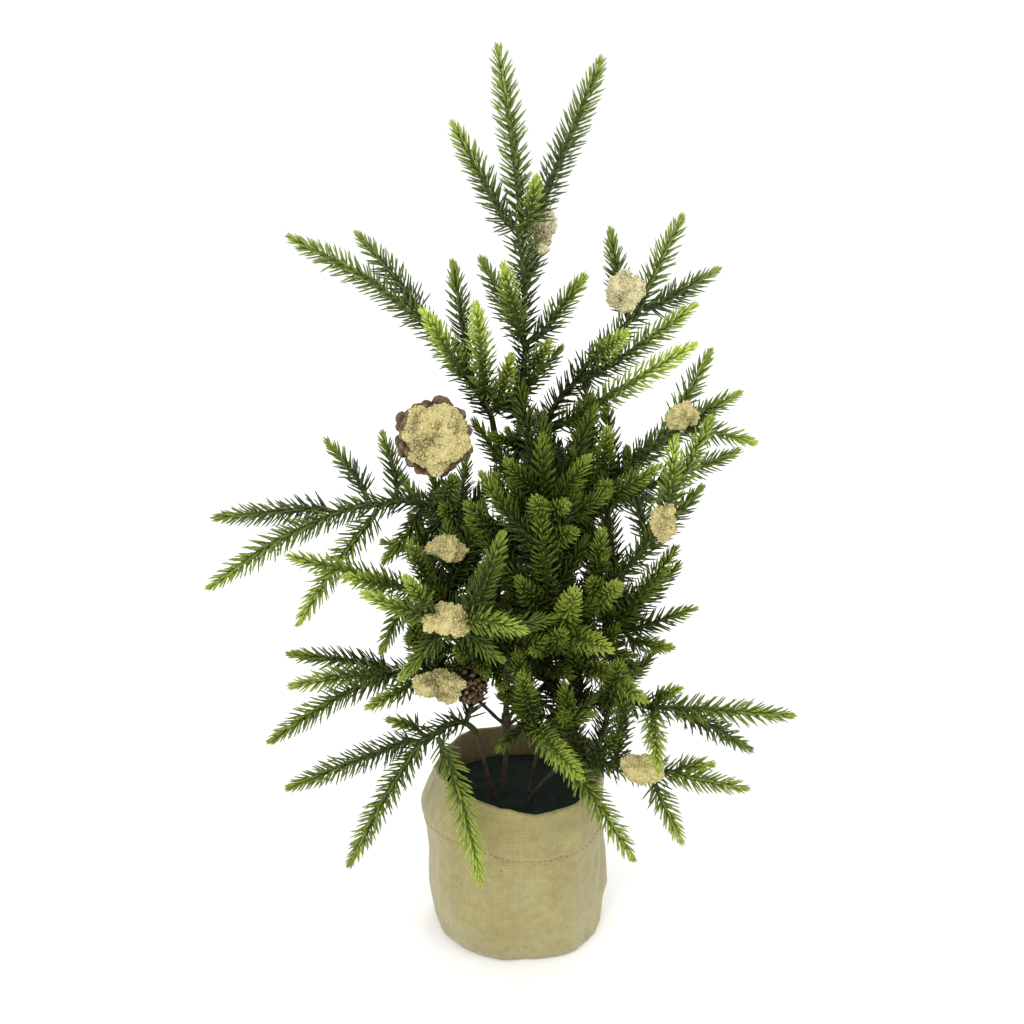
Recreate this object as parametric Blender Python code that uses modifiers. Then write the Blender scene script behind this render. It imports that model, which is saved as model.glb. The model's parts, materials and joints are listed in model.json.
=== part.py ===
"""Artificial tabletop tree: a wired fir in a weighted pot, slipped into a cuffed linen bag.

+Z is up, the origin is the middle of the bag's bottom on the table, and -Y is the front.
Every branch is a brown wire that bends at its tie, with a moulded green spray plugged onto it.
A spray's solid is its moulded stem and the thick of its needles.
"""

import math
import random

import bmesh
import bpy
from mathutils import Matrix, Vector

CM = 0.01
MM = 0.001

# Fabric bag, in metres. The rim dips at the front, and the front leans in over the pot.
BAG_FOOT_RADIUS = 57 * MM
BAG_RADIUS = 62 * MM
BAG_RIM_HEIGHT = 121 * MM
BAG_FRONT_DIP = 2 * MM
BAG_FRONT_LEAN = 8 * MM
BAG_CORNER = 20 * MM
CLOTH = 1.2 * MM
CUFF_DEPTH = 34 * MM
THREAD_RADIUS = 0.4 * MM
PANEL_RADIUS = 53 * MM

# Liner pot, cast weight and foam.
POT_FOOT_RADIUS = 50 * MM
POT_RIM_RADIUS = 55 * MM
POT_FLOOR = 2 * MM
POT_RIM = 95 * MM
POT_WALL = 1.5 * MM
POT_FLOOR_THICKNESS = 2 * MM
WEIGHT_TOP = 86 * MM
FOAM_TOP = 101 * MM
FOAM_RADIUS = 51 * MM
FOAM_DEPTH = 13 * MM
GAP = 0.3 * MM

# Trunk and branches.
ROD_RADIUS = 2 * MM
TAPE_RADIUS = 3.3 * MM
TAPE_END_RADIUS = 2.8 * MM
TAPE_HEIGHT = 14 * MM
WIRE_RADIUS = 1.2 * MM
WIRE_PLUG = 12 * MM
PICK_RADIUS = 0.8 * MM
SLEEVE_RADIUS = 2.5 * MM
SPRIG_RADIUS = 3.2 * MM
TIP_RADIUS = 0.6 * MM
TAPER = 45 * MM
STEM_SPACING = 21 * MM
SPRIG_SPACING = 28 * MM

# The trunk's line, in centimetres: it stands left of centre and leans right at the top.
TRUNK = ((-0.9, 0, 2.0), (-0.8, 0, 10.0), (-0.6, 0, 21.0), (-0.2, 0, 32.0), (0.3, 0, 38.2))
TAPE_HEIGHTS = {"bottom": 15.4, "lower": 20.6, "middle": 26.9, "top": 33.0}

# Each branch, in centimetres. "root" is the height of its tie on the trunk, or a point on the
# foam. "stem" is the line its wire and main shoot bend through, to the tip. "spray" is how far
# along the stem the moulded part starts. A sprig leaves the stem at a distance along it, ends
# at its tip, and its middle is raised by its arch.
BRANCHES = {
    "upper_left": {
        "root": 33.2,
        "stem": ((-2.3, -0.2, 38.6), (-5.5, 0.7, 42.5), (-8.7, 1.3, 45.3), (-14.1, 2.0, 48.2)),
        "spray": 2.5,
        "sprigs": (
            (8.0, (-10.0, 3.4, 48.1), 0.4),
            (6.6, (-4.0, 2.4, 46.4), 0.0),
            (6.0, (-5.6, -3.2, 44.7), 0.0),
            (4.6, (-2.4, -4.2, 45.3), 0.0),
            (3.6, (-0.3, -3.2, 42.0), 0.0),
        ),
    },
    "upper_right": {
        "root": 32.8,
        "stem": ((2.6, 0.8, 38.0), (6.9, 2.0, 42.4), (12.6, 3.0, 45.9)),
        "spray": 2.0,
        "sprigs": (
            (12.0, (5.8, 2.4, 48.6), 0.0),
            (12.5, (10.4, 3.8, 49.2), 0.0),
            (6.4, (10.9, -0.4, 44.4), -0.3),
            (8.6, (6.6, -2.4, 43.2), 0.0),
            (3.0, (10.7, -2.4, 42.4), 0.0),
        ),
    },
    "right_middle": {
        "root": 27.1,
        "stem": ((5.3, -0.8, 32.6), (9.8, -1.8, 36.8), (13.8, -2.2, 39.4)),
        "spray": 2.5,
        "sprigs": (
            (13.0, (12.1, 0.6, 41.2), 0.0),
            (13.6, (14.6, -2.8, 36.4), 0.4),
            (5.0, (14.3, 1.0, 34.5), 0.0),
            (7.5, (5.6, -3.4, 37.4), 0.0),
            (3.4, (8.7, -3.6, 35.0), 0.0),
            (9.0, (12.6, 1.4, 37.6), 0.0),
        ),
    },
    "right_front": {
        "root": 20.6,
        "stem": ((3.4, -2.4, 24.0), (7.6, -4.6, 29.5), (9.1, -5.4, 32.6), (9.4, -6.0, 37.5)),
        "spray": 3.0,
        "sprigs": (
            (13.4, (11.7, -4.4, 38.3), 0.0),
            (10.5, (11.4, -3.4, 33.6), 0.0),
            (8.0, (5.2, -5.6, 31.6), 0.0),
            (7.0, (6.2, -7.6, 28.8), 0.0),
        ),
    },
    "right_low": {
        "root": 15.4,
        "stem": ((2.8, -0.6, 19.6), (6.1, -1.6, 22.4), (11.4, -2.6, 25.0)),
        "spray": 2.5,
        "sprigs": (
            (8.2, (10.0, -3.6, 29.6), -0.3),
            (9.2, (10.5, -1.0, 27.4), 0.0),
            (9.8, (9.8, -4.6, 23.2), 0.0),
            (6.2, (7.9, -8.4, 21.4), 0.6),
            (5.0, (5.0, -2.6, 25.8), 0.0),
        ),
    },
    "right_sweep": {
        "root": (0.9, -0.5, 10.3),
        "stem": (
            (1.6, -1.0, 14.4),
            (3.0, -2.0, 17.8),
            (5.6, -3.6, 19.0),
            (8.6, -5.0, 19.3),
            (17.6, -6.0, 19.1),
        ),
        "spray": 6.0,
        "sprigs": (
            (14.0, (10.2, -6.6, 21.3), 0.0),
            (15.4, (15.4, -3.6, 15.3), 0.4),
            (14.6, (8.7, -10.4, 17.8), 0.3),
        ),
    },
    "right_bottom": {
        "root": (0.8, -1.6, 10.3),
        "stem": ((3.2, -3.4, 14.0), (7.9, -7.0, 15.8), (14.6, -8.4, 15.2)),
        "spray": 3.5,
        "sprigs": (
            (6.8, (6.6, -6.8, 18.2), 0.0),
            (11.2, (10.4, -9.4, 12.0), 0.3),
            (11.8, (12.2, -8.8, 17.2), 0.0),
        ),
    },
    "left_middle": {
        "root": 26.9,
        "stem": ((-5.0, 0.0, 31.2), (-8.8, -0.8, 31.6), (-19.3, -1.0, 30.7)),
        "spray": 2.5,
        "sprigs": (
            (10.0, (-12.1, 0.4, 35.4), 0.0),
            (10.6, (-19.7, -3.0, 26.7), 0.8),
            (9.4, (-13.9, -4.6, 24.8), 0.6),
            (8.4, (-8.6, 0.8, 35.8), 0.0),
            (6.4, (-8.4, -2.8, 28.4), 0.0),
            (4.0, (-4.6, -3.6, 32.4), 0.0),
        ),
    },
    "left_front": {
        "root": 20.8,
        "stem": ((-3.5, -1.8, 24.2), (-6.2, -3.8, 26.8), (-13.8, -6.4, 30.2)),
        "spray": 2.5,
        "sprigs": (
            (8.4, (-10.4, -7.6, 29.4), 0.0),
            (7.4, (-6.6, -5.4, 30.8), 0.0),
            (9.0, (-8.6, -4.8, 23.0), 0.4),
            (5.0, (-4.4, -3.4, 31.4), 0.0),
        ),
    },
    "front_left": {
        "root": 20.4,
        "stem": ((-2.2, -3.6, 22.8), (-4.4, -7.4, 26.2), (-9.2, -9.0, 28.8)),
        "spray": 2.5,
        "sprigs": (
            (9.6, (0.5, -11.0, 27.3), 0.5),
            (9.0, (-7.2, -7.8, 22.6), 0.4),
            (10.4, (-6.6, -9.6, 30.2), 0.0),
            (5.6, (-1.6, -5.6, 28.6), 0.0),
        ),
    },
    "lower_left": {
        "root": 15.6,
        "stem": ((-3.4, -1.0, 18.4), (-6.0, -2.2, 20.4), (-14.7, -2.8, 21.9)),
        "spray": 2.5,
        "sprigs": (
            (7.4, (-14.3, -5.6, 21.0), 0.3),
            (8.0, (-16.1, -4.2, 16.3), 0.8),
            (6.6, (-9.4, -6.2, 19.8), 0.0),
            (5.0, (-6.8, 1.4, 22.6), 0.0),
        ),
    },
    "left_bottom": {
        "root": (-1.6, -1.1, 10.3),
        "stem": ((-2.4, -2.2, 14.6), (-3.2, -3.2, 17.2), (-5.6, -4.8, 17.3), (-14.9, -5.4, 13.5)),
        "spray": 6.0,
        "sprigs": (
            (10.6, (-11.0, -6.6, 8.4), 0.6),
            (10.0, (-2.3, -9.6, 9.2), 1.2),
            (10.2, (-8.1, -6.2, 18.9), 0.0),
        ),
    },
    "front_low": {
        "root": 15.0,
        "stem": ((0.6, -3.0, 16.9), (1.2, -5.2, 17.7), (3.9, -11.0, 17.5)),
        "spray": 1.8,
        "sprigs": (
            (5.2, (0.3, -8.0, 23.0), 0.0),
            (4.4, (7.3, -9.6, 10.9), 1.0),
            (3.6, (-1.2, -5.6, 16.4), 0.0),
            (5.8, (4.8, -6.4, 19.4), 0.0),
        ),
    },
    "front_middle": {
        "root": 20.0,
        "stem": ((1.6, -2.8, 22.6), (2.8, -5.4, 25.2), (3.5, -9.0, 29.1)),
        "spray": 2.0,
        "sprigs": (
            (5.4, (1.4, -6.4, 33.4), 0.0),
            (4.6, (1.0, -7.4, 24.4), 0.0),
            (2.4, (-0.6, -4.4, 26.8), 0.0),
            (6.8, (5.6, -9.4, 25.4), 0.0),
            (3.4, (2.6, -2.4, 28.2), 0.0),
        ),
    },
    "front_upper": {
        "root": 26.8,
        "stem": ((1.0, -2.4, 29.3), (1.6, -3.4, 32.8), (1.5, -4.4, 37.2)),
        "spray": 1.8,
        "sprigs": (
            (4.6, (4.4, -5.0, 36.2), 0.0),
            (3.4, (-1.4, -4.8, 35.0), 0.0),
            (2.9, (-3.0, -4.6, 32.0), 0.0),
            (5.6, (3.0, -6.4, 33.6), 0.0),
        ),
    },
    "back_right": {
        "root": 26.6,
        "stem": ((2.8, 3.0, 28.6), (5.6, 5.4, 30.4), (9.0, 8.6, 31.6)),
        "spray": 2.5,
        "sprigs": (
            (6.6, (4.2, 6.6, 36.0), 0.0),
            (7.2, (9.6, 4.4, 30.0), 0.0),
            (6.0, (2.0, 8.6, 29.6), 0.0),
            (4.4, (0.2, 5.6, 33.6), 0.0),
        ),
    },
    "back_left": {
        "root": 20.8,
        "stem": ((-3.0, 3.2, 23.6), (-5.0, 5.6, 26.6), (-8.4, 9.0, 30.4)),
        "spray": 2.5,
        "sprigs": (
            (7.4, (-3.4, 7.2, 32.4), 0.0),
            (6.6, (-9.4, 5.4, 26.6), 0.0),
            (5.8, (-2.6, 9.4, 25.4), 0.0),
            (4.6, (-2.4, 3.2, 29.0), 0.0),
        ),
    },
    "back_low": {
        "root": 15.4,
        "stem": ((1.0, 3.2, 18.0), (1.8, 5.6, 19.8), (3.8, 11.0, 21.0)),
        "spray": 2.0,
        "sprigs": (
            (6.6, (-1.6, 9.6, 20.4), 0.0),
            (5.8, (6.4, 6.8, 17.6), 0.0),
            (5.0, (1.4, 5.6, 24.6), 0.0),
            (4.2, (-3.4, 6.0, 18.0), 0.0),
        ),
    },
}

# The leader stands on the rod's top and is laid out like a branch.
LEADER_STEM = ((0.3, 0, 38.3), (0.45, 0, 43.0), (0.3, 0, 48.4), (-0.1, 0, 53.0), (-1.1, 0, 59.7))
LEADER_SPRIGS = (
    (9.8, (5.0, 0.5, 59.0), -0.3),
    (9.4, (-3.8, -1.0, 55.4), 0.0),
    (9.9, (1.2, -2.4, 52.5), 0.0),
    (3.0, (-0.8, -3.0, 47.4), 0.0),
    (2.6, (4.1, -1.2, 46.4), 0.0),
    (1.2, (2.0, -3.0, 42.8), 0.0),
    (6.0, (1.8, 3.0, 50.5), 0.0),
    (3.6, (-2.2, 3.0, 46.6), 0.0),
)

# Cones, in centimetres: middle, the way the tip points, widest radius, length, and the point
# on the stem that the wire pick comes from. The small one is glued on with its snow.
CONES = {
    "large": {
        "branch": "left_middle",
        "middle": (-5.1, -3.5, 36.9),
        "points": (0.10, -0.93, 0.30),
        "radius": 2.35,
        "length": 4.4,
        "pick": (-4.4, -0.9, 31.6),
    },
    "small": {
        "branch": "lower_left",
        "middle": (-3.3, -3.6, 20.3),
        "points": (0.55, -0.6, -0.35),
        "radius": 1.35,
        "length": 2.8,
        "pick": None,
    },
}

# Snow clumps, in centimetres: the spray each is stuck to, its middle and its half sizes.
CLUMPS = {
    "leader": ("leader", (1.6, 1.6, 48.6), (0.75, 0.9, 1.6)),
    "upper_right": ("upper_right", (6.9, 1.0, 45.0), (1.1, 1.0, 1.5)),
    "right_middle": ("right_middle", (10.3, -2.7, 37.9), (0.9, 0.8, 0.8)),
    "right_front": ("right_front", (9.0, -6.0, 32.4), (0.7, 0.9, 1.4)),
    "left_front": ("left_front", (-4.5, -3.8, 29.7), (1.4, 1.0, 0.75)),
    "front_left": ("front_left", (-4.2, -8.3, 26.9), (1.7, 1.1, 0.9)),
    "lower_left": ("lower_left", (-4.9, -5.5, 20.9), (1.6, 0.9, 1.2)),
    "right_bottom": ("right_bottom", (8.1, -7.8, 16.4), (1.5, 1.0, 0.8)),
}


def clear_scene():
    for obj in list(bpy.data.objects):
        bpy.data.objects.remove(obj, do_unlink=True)


def new_collection(name, helper=False):
    collection = bpy.data.collections.new(name)
    collection.hide_render = helper
    bpy.context.scene.collection.children.link(collection)
    return collection


def material(name, colour, roughness, metallic=0.0):
    made = bpy.data.materials.get(name) or bpy.data.materials.new(name)
    made.use_nodes = True
    shader = made.node_tree.nodes["Principled BSDF"]
    shader.inputs["Base Color"].default_value = (*colour, 1.0)
    shader.inputs["Roughness"].default_value = roughness
    shader.inputs["Metallic"].default_value = metallic
    return made


def add_object(name, mesh, finish=None, parent=None):
    """A mesh object: a part if it has a finish, or else a hidden helper."""
    obj = bpy.data.objects.new(name, mesh)
    (PARTS if finish else CUTTERS).objects.link(obj)
    obj.parent = parent
    if finish:
        mesh.materials.clear()
        mesh.materials.append(finish)
    else:
        obj.hide_render = True
        obj.display_type = "WIRE"
    return obj


def shade_smooth(mesh):
    for face in mesh.polygons:
        face.use_smooth = True


def boolean(obj, other, operation):
    """Notes a cut or a join. They are all added at the end, so that curves convert quickly."""
    JOINERY.append((obj, other, operation))


def add_boolean(obj, other, operation):
    modifier = obj.modifiers.new(operation.title(), "BOOLEAN")
    modifier.operation = operation
    modifier.solver = "EXACT"
    if isinstance(other, bpy.types.Collection):
        modifier.operand_type = "COLLECTION"
        modifier.collection = other
    else:
        modifier.object = other


def in_metres(points):
    return [Vector(point) * CM for point in points]


def distances(points):
    """How far along the line each point is."""
    total = 0.0
    along = [0.0]
    for start, end in zip(points, points[1:]):
        total += (end - start).length
        along.append(total)
    return along


def point_along(points, distance):
    along = distances(points)
    for i in range(len(points) - 1):
        if distance <= along[i + 1] or i == len(points) - 2:
            share = (distance - along[i]) / (along[i + 1] - along[i])
            return points[i].lerp(points[i + 1], share)


def rounded_line(points, spacing):
    """Evenly spaced points on a smooth line through the given points (Catmull-Rom)."""
    ends = [2 * points[0] - points[1]] + list(points) + [2 * points[-1] - points[-2]]
    fine = []
    steps = 12
    for p0, p1, p2, p3 in zip(ends, ends[1:], ends[2:], ends[3:]):
        for step in range(steps):
            t = step / steps
            fine.append(
                0.5
                * (
                    2 * p1
                    + (p2 - p0) * t
                    + (2 * p0 - 5 * p1 + 4 * p2 - p3) * t * t
                    + (3 * p1 - p0 - 3 * p2 + p3) * t**3
                )
            )
    fine.append(points[-1])
    length = distances(fine)[-1]
    count = max(3, round(length / spacing))
    return [point_along(fine, length * i / count) for i in range(count + 1)]


def part_of_line(points, start, end):
    """The stretch of a line between two distances along it."""
    along = distances(points)
    middle = [p for p, d in zip(points, along) if start + MM < d < end - MM]
    return [point_along(points, start)] + middle + [point_along(points, end)]


def tube_mesh(name, points, radii, sides=6, ring=False):
    """A closed round tube along a line, one radius a point, made from a bevelled curve."""
    curve = bpy.data.curves.new(name, "CURVE")
    curve.dimensions = "3D"
    curve.bevel_depth = 1.0
    curve.bevel_resolution = sides // 2 - 2
    curve.use_fill_caps = not ring
    spline = curve.splines.new("POLY")
    spline.use_cyclic_u = ring
    spline.points.add(len(points) - 1)
    for spot, point, radius in zip(spline.points, points, radii):
        spot.co = (*point, 1.0)
        spot.radius = radius
    holder = bpy.data.objects.new(name, curve)
    bpy.context.scene.collection.objects.link(holder)
    graph = bpy.context.evaluated_depsgraph_get()
    mesh = bpy.data.meshes.new_from_object(holder.evaluated_get(graph), depsgraph=graph)
    bpy.data.objects.remove(holder, do_unlink=True)
    bpy.data.curves.remove(curve)
    shape = bmesh.new()
    shape.from_mesh(mesh)
    bmesh.ops.remove_doubles(shape, verts=shape.verts, dist=0.01 * MM)
    bmesh.ops.recalc_face_normals(shape, faces=shape.faces)
    shape.to_mesh(mesh)
    shape.free()
    mesh.name = name
    shade_smooth(mesh)
    return mesh


def even_tube(name, points, radius, sides=6):
    return tube_mesh(name, points, [radius] * len(points), sides)


def shoot_radii(points, start_radius, sleeve=0.0):
    """A shoot's radius at each point: a plain sleeve first, then the needles, then the taper."""
    along = distances(points)
    length = along[-1]
    taper = min(TAPER, 0.6 * length)
    radii = []
    for distance in along:
        if distance < sleeve:
            radii.append(start_radius)
            continue
        left = (length - distance) / taper
        full = TIP_RADIUS + (SPRIG_RADIUS - TIP_RADIUS) * min(1.0, left) ** 0.7
        radii.append(full)
    return radii


def turned_object(name, profile, steps, finish=None):
    """A solid of revolution about Z from (radius, height) points that run top to bottom."""
    mesh = bpy.data.meshes.new(name)
    mesh.from_pydata([(r, 0, z) for r, z in profile], [(i, i + 1) for i in range(len(profile) - 1)], [])
    obj = add_object(name, mesh, finish)
    screw = obj.modifiers.new("Turn", "SCREW")
    screw.steps = steps
    screw.render_steps = steps
    screw.use_merge_vertices = True
    screw.merge_threshold = 0.01 * MM
    screw.use_smooth_shade = True
    return obj


def cylinder(name, radius, low, high, sides, finish=None):
    shape = bmesh.new()
    bmesh.ops.create_cone(
        shape,
        cap_ends=True,
        segments=sides,
        radius1=radius,
        radius2=radius,
        depth=high - low,
        matrix=Matrix.Translation((0, 0, (low + high) / 2)),
    )
    mesh = bpy.data.meshes.new(name)
    shape.to_mesh(mesh)
    shape.free()
    return add_object(name, mesh, finish)


# Bag


def front_share(azimuth):
    """1 at the front of the bag and 0 from its sides back."""
    return max(0.0, -math.sin(azimuth)) ** 2


def rim_height(azimuth):
    wave = 2.5 * MM * math.sin(2 * azimuth + 0.6) + 1.5 * MM * math.cos(3 * azimuth)
    return BAG_RIM_HEIGHT - BAG_FRONT_DIP * front_share(azimuth) + wave


def bag_point(azimuth, share):
    """A point on the bag's outside, share of the way up from the table to the rim."""
    height = share * rim_height(azimuth)
    corner = min(1.0, height / BAG_CORNER)
    radius = BAG_FOOT_RADIUS + (BAG_RADIUS - BAG_FOOT_RADIUS) * math.sin(corner * math.pi / 2)
    radius += 0.8 * MM * math.sin(3 * azimuth + 5 * share) * corner
    radius += 0.6 * MM * math.cos(5 * azimuth - 4 * share) * corner
    over_pot = max(0.0, (height - POT_RIM) / (BAG_RIM_HEIGHT - POT_RIM))
    radius -= BAG_FRONT_LEAN * front_share(azimuth) * over_pot**1.5
    return Vector((radius * math.cos(azimuth), radius * math.sin(azimuth), height))


def cuff_share(azimuth):
    return 1.0 - CUFF_DEPTH / rim_height(azimuth)


def build_bag(columns=32):
    linen = material("linen", (0.60, 0.55, 0.36), 0.9)
    azimuths = [2 * math.pi * i / columns for i in range(columns)]
    shape = bmesh.new()
    rows = []
    for step in (0.0, 0.3, 0.62, 1.0):
        rows.append([shape.verts.new(bag_point(a, step * cuff_share(a))) for a in azimuths])
    cuff_start = len(rows)
    for step in (0.04, 0.5, 1.0):
        line = []
        for azimuth in azimuths:
            share = cuff_share(azimuth)
            line.append(shape.verts.new(bag_point(azimuth, share + step * (1 - share))))
        rows.append(line)
    for low, high in zip(rows, rows[1:]):
        for i in range(columns):
            j = (i + 1) % columns
            shape.faces.new((low[i], low[j], high[j], high[i]))
    shape.verts.index_update()
    plain = [vert.index for row in rows[:cuff_start] for vert in row]
    mesh = bpy.data.meshes.new("fabric_bag")
    shape.to_mesh(mesh)
    shape.free()
    shade_smooth(mesh)
    bag = add_object("fabric_bag", mesh, linen)
    everywhere = bag.vertex_groups.new(name="layers")
    everywhere.add(range(len(mesh.vertices)), 1.0, "REPLACE")
    everywhere.add(plain, 0.5, "REPLACE")
    solidify = bag.modifiers.new("Cloth", "SOLIDIFY")
    solidify.thickness = 2 * CLOTH
    solidify.offset = -1.0
    solidify.vertex_group = everywhere.name

    cylinder("base_panel", PANEL_RADIUS, 0.0, CLOTH, columns, linen)

    line = []
    for azimuth in azimuths:
        spot = bag_point(azimuth, cuff_share(azimuth))
        outward = Vector((math.cos(azimuth), math.sin(azimuth), 0))
        line.append(spot + outward * (THREAD_RADIUS + GAP))
    thread = tube_mesh("hem_thread", line, [THREAD_RADIUS] * columns, 4, ring=True)
    add_object("hem_thread", thread, material("thread", (0.45, 0.38, 0.22), 0.8))


# Pot, weight and foam


def pot_radius(height):
    share = (height - POT_FLOOR) / (POT_RIM - POT_FLOOR)
    return POT_FOOT_RADIUS + (POT_RIM_RADIUS - POT_FOOT_RADIUS) * share


def build_pot(rod_line):
    inside = POT_FLOOR + POT_FLOOR_THICKNESS
    profile = (
        (0.0, inside),
        (pot_radius(inside) - POT_WALL, inside),
        (POT_RIM_RADIUS - POT_WALL, POT_RIM),
        (POT_RIM_RADIUS, POT_RIM),
        (POT_FOOT_RADIUS, POT_FLOOR),
        (0.0, POT_FLOOR),
    )
    turned_object("liner_pot", profile, 32, material("pot_plastic", (0.03, 0.03, 0.03), 0.5))

    low = inside + GAP
    profile = (
        (0.0, WEIGHT_TOP),
        (pot_radius(WEIGHT_TOP) - POT_WALL - GAP, WEIGHT_TOP),
        (pot_radius(low) - POT_WALL - GAP, low),
        (0.0, low),
    )
    weight = turned_object("weight_block", profile, 32, material("plaster", (0.62, 0.60, 0.56), 0.95))

    foam_low = FOAM_TOP - FOAM_DEPTH
    foam = cylinder(
        "foam_disc", FOAM_RADIUS, foam_low, FOAM_TOP, 32, material("foam", (0.015, 0.03, 0.018), 0.95)
    )

    below = rod_line[0] - Vector((0, 0, GAP))
    bore = add_object("rod_bore", even_tube("rod_bore", [below] + rod_line[1:], ROD_RADIUS + GAP, 8))
    boolean(weight, bore, "DIFFERENCE")
    boolean(foam, bore, "DIFFERENCE")
    return bore


# Trunk


def trunk_at(height):
    """The trunk's middle at a height, both in metres."""
    line = in_metres(TRUNK)
    for low, high in zip(line, line[1:]):
        if height <= high.z:
            return low.lerp(high, (height - low.z) / (high.z - low.z))
    return line[-1]


def build_trunk(rod_line, bore):
    bark = material("brown_plastic", (0.07, 0.035, 0.02), 0.55)
    add_object("trunk_rod", even_tube("trunk_rod", rod_line, ROD_RADIUS, 8), bark)
    tape = material("brown_tape", (0.09, 0.05, 0.025), 0.8)
    for name, height in TAPE_HEIGHTS.items():
        middle = height * CM
        ends = [trunk_at(middle - TAPE_HEIGHT / 2), trunk_at(middle + TAPE_HEIGHT / 2)]
        line = [ends[0], ends[0].lerp(ends[1], 0.5), ends[1]]
        radii = [TAPE_END_RADIUS, TAPE_RADIUS, TAPE_END_RADIUS]
        wrap = add_object(f"tape_wrap_{name}", tube_mesh(f"tape_wrap_{name}", line, radii, 8), tape)
        boolean(wrap, bore, "DIFFERENCE")


# Branches


def pivot_of(name, branch):
    """Where a branch bends: beside its tape wrap, or where its wire comes out of the foam."""
    root = branch["root"]
    if isinstance(root, tuple):
        return Vector(root) * CM
    trunk = trunk_at(root * CM)
    away = Vector(branch["stem"][0]) * CM - trunk
    away.z = 0.0
    return trunk + away.normalized() * (TAPE_RADIUS + WIRE_RADIUS + GAP)


def build_spray(name, pivot, stem, start, sprigs, sleeve):
    """A moulded spray: its main shoot from `start` along the stem, joined by its sprigs."""
    green = material("needle_green", (0.04, 0.085, 0.02), 0.5)
    length = distances(stem)[-1]
    main = part_of_line(stem, start, length)
    spray = add_object(
        f"spray_{name}",
        tube_mesh(f"spray_{name}", main, shoot_radii(main, SLEEVE_RADIUS, sleeve)),
        green,
        pivot,
    )
    shoots = bpy.data.collections.new(f"sprigs_{name}")
    CUTTERS.children.link(shoots)
    lines = [main]
    for index, (distance, tip, arch) in enumerate(sprigs):
        base = point_along(stem, distance * CM)
        end = Vector(tip) * CM - PLACE[name]
        middle = base.lerp(end, 0.5) + Vector((0, 0, arch * CM))
        line = rounded_line([base, middle, end], SPRIG_SPACING)
        shape = tube_mesh("sprig", line, shoot_radii(line, 0.0))
        sprig = add_object(f"sprig_{name}_{index}", shape, None, pivot)
        CUTTERS.objects.unlink(sprig)
        shoots.objects.link(sprig)
        lines.append(line)
    boolean(spray, shoots, "UNION")
    SHOOT_LINES[name] = lines
    return spray


def build_branch(name, branch):
    place = pivot_of(name, branch)
    PLACE[name] = place
    pivot = bpy.data.objects.new(f"pivot_{name}", None)
    pivot.location = place
    pivot.empty_display_size = 10 * MM
    PARTS.objects.link(pivot)
    PIVOTS[name] = pivot
    stem = rounded_line([Vector()] + [p - place for p in in_metres(branch["stem"])], STEM_SPACING)
    start = branch["spray"] * CM
    spray = build_spray(name, pivot, stem, start, branch["sprigs"], WIRE_PLUG)
    plug_line = part_of_line(stem, start - 5 * MM, start + WIRE_PLUG + GAP)
    plug = add_object(f"plug_{name}", even_tube(f"plug_{name}", plug_line, WIRE_RADIUS + GAP), None, pivot)
    boolean(spray, plug, "DIFFERENCE")
    wire_line = part_of_line(stem, 0.0, start + WIRE_PLUG)
    bark = material("brown_plastic", (0.07, 0.035, 0.02), 0.55)
    add_object(f"wire_{name}", even_tube(f"wire_{name}", wire_line, WIRE_RADIUS), bark, pivot)


def build_leader():
    stem = rounded_line(in_metres(LEADER_STEM), STEM_SPACING)
    place = stem[0]
    PLACE["leader"] = place
    pivot = bpy.data.objects.new("pivot_leader", None)
    pivot.location = place
    pivot.empty_display_size = 10 * MM
    PARTS.objects.link(pivot)
    PIVOTS["leader"] = pivot
    stem = [point - place for point in stem]
    build_spray("leader", pivot, stem, 0.0, LEADER_SPRIGS, 15 * MM)


# Cones and snow


def towards(direction, place):
    """The transform that stands a piece on its place with its Z along the direction."""
    turn = Vector(direction).to_track_quat("Z", "Y").to_matrix().to_4x4()
    return Matrix.Translation(place) @ turn


def cone_radius(share, radius):
    """A cone's outline: broad near its stalk end and blunt at its tip."""
    return radius * math.sin(math.pi * (0.12 + 0.84 * share)) ** 0.6


def build_cone(name, cone):
    radius = cone["radius"] * CM
    length = cone["length"] * CM
    tiers = 6
    profile = [(0.0, length / 2)]
    for tier in reversed(range(tiers)):
        share = (tier + 0.5) / tiers
        height = (share - 0.5) * length
        profile.append((0.74 * cone_radius(share, radius), height + 0.35 * length / tiers))
        profile.append((cone_radius(share, radius), height))
    profile.append((0.0, -length / 2))
    brown = material("cone_brown", (0.16, 0.095, 0.045), 0.75)
    pivot = PIVOTS[cone["branch"]]
    place = Vector(cone["middle"]) * CM - PLACE[cone["branch"]]
    stand = towards(cone["points"], place)
    body = turned_object(f"pine_cone_{name}", profile, 14, brown)
    body.parent = pivot
    body.matrix_local = stand

    if cone["pick"]:
        stalk_end = stand @ Vector((0, 0, -length / 2 - 2 * GAP))
        stem_end = Vector(cone["pick"]) * CM - PLACE[cone["branch"]]
        below = stand @ Vector((0, 0, -length / 2 - 8 * MM))
        line = rounded_line([stalk_end, below, stem_end], 8 * MM)
        bark = material("brown_plastic", (0.07, 0.035, 0.02), 0.55)
        add_object(f"cone_pick_{name}", even_tube(f"cone_pick_{name}", line, PICK_RADIUS), bark, pivot)

    top = length / 2 + 2 * GAP
    clearance = [(0.0, top), (cone_radius(1.0, radius) + 2 * GAP, top)]
    for step in reversed(range(8)):
        share = (step + 0.5) / 8
        clearance.append((cone_radius(share, radius) + 2 * GAP, (share - 0.5) * length))
    clearance.append((0.0, -top))
    cutter = turned_object(f"cone_clearance_{name}", clearance, 14)
    cutter.parent = pivot
    cutter.matrix_local = stand
    return cutter


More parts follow.
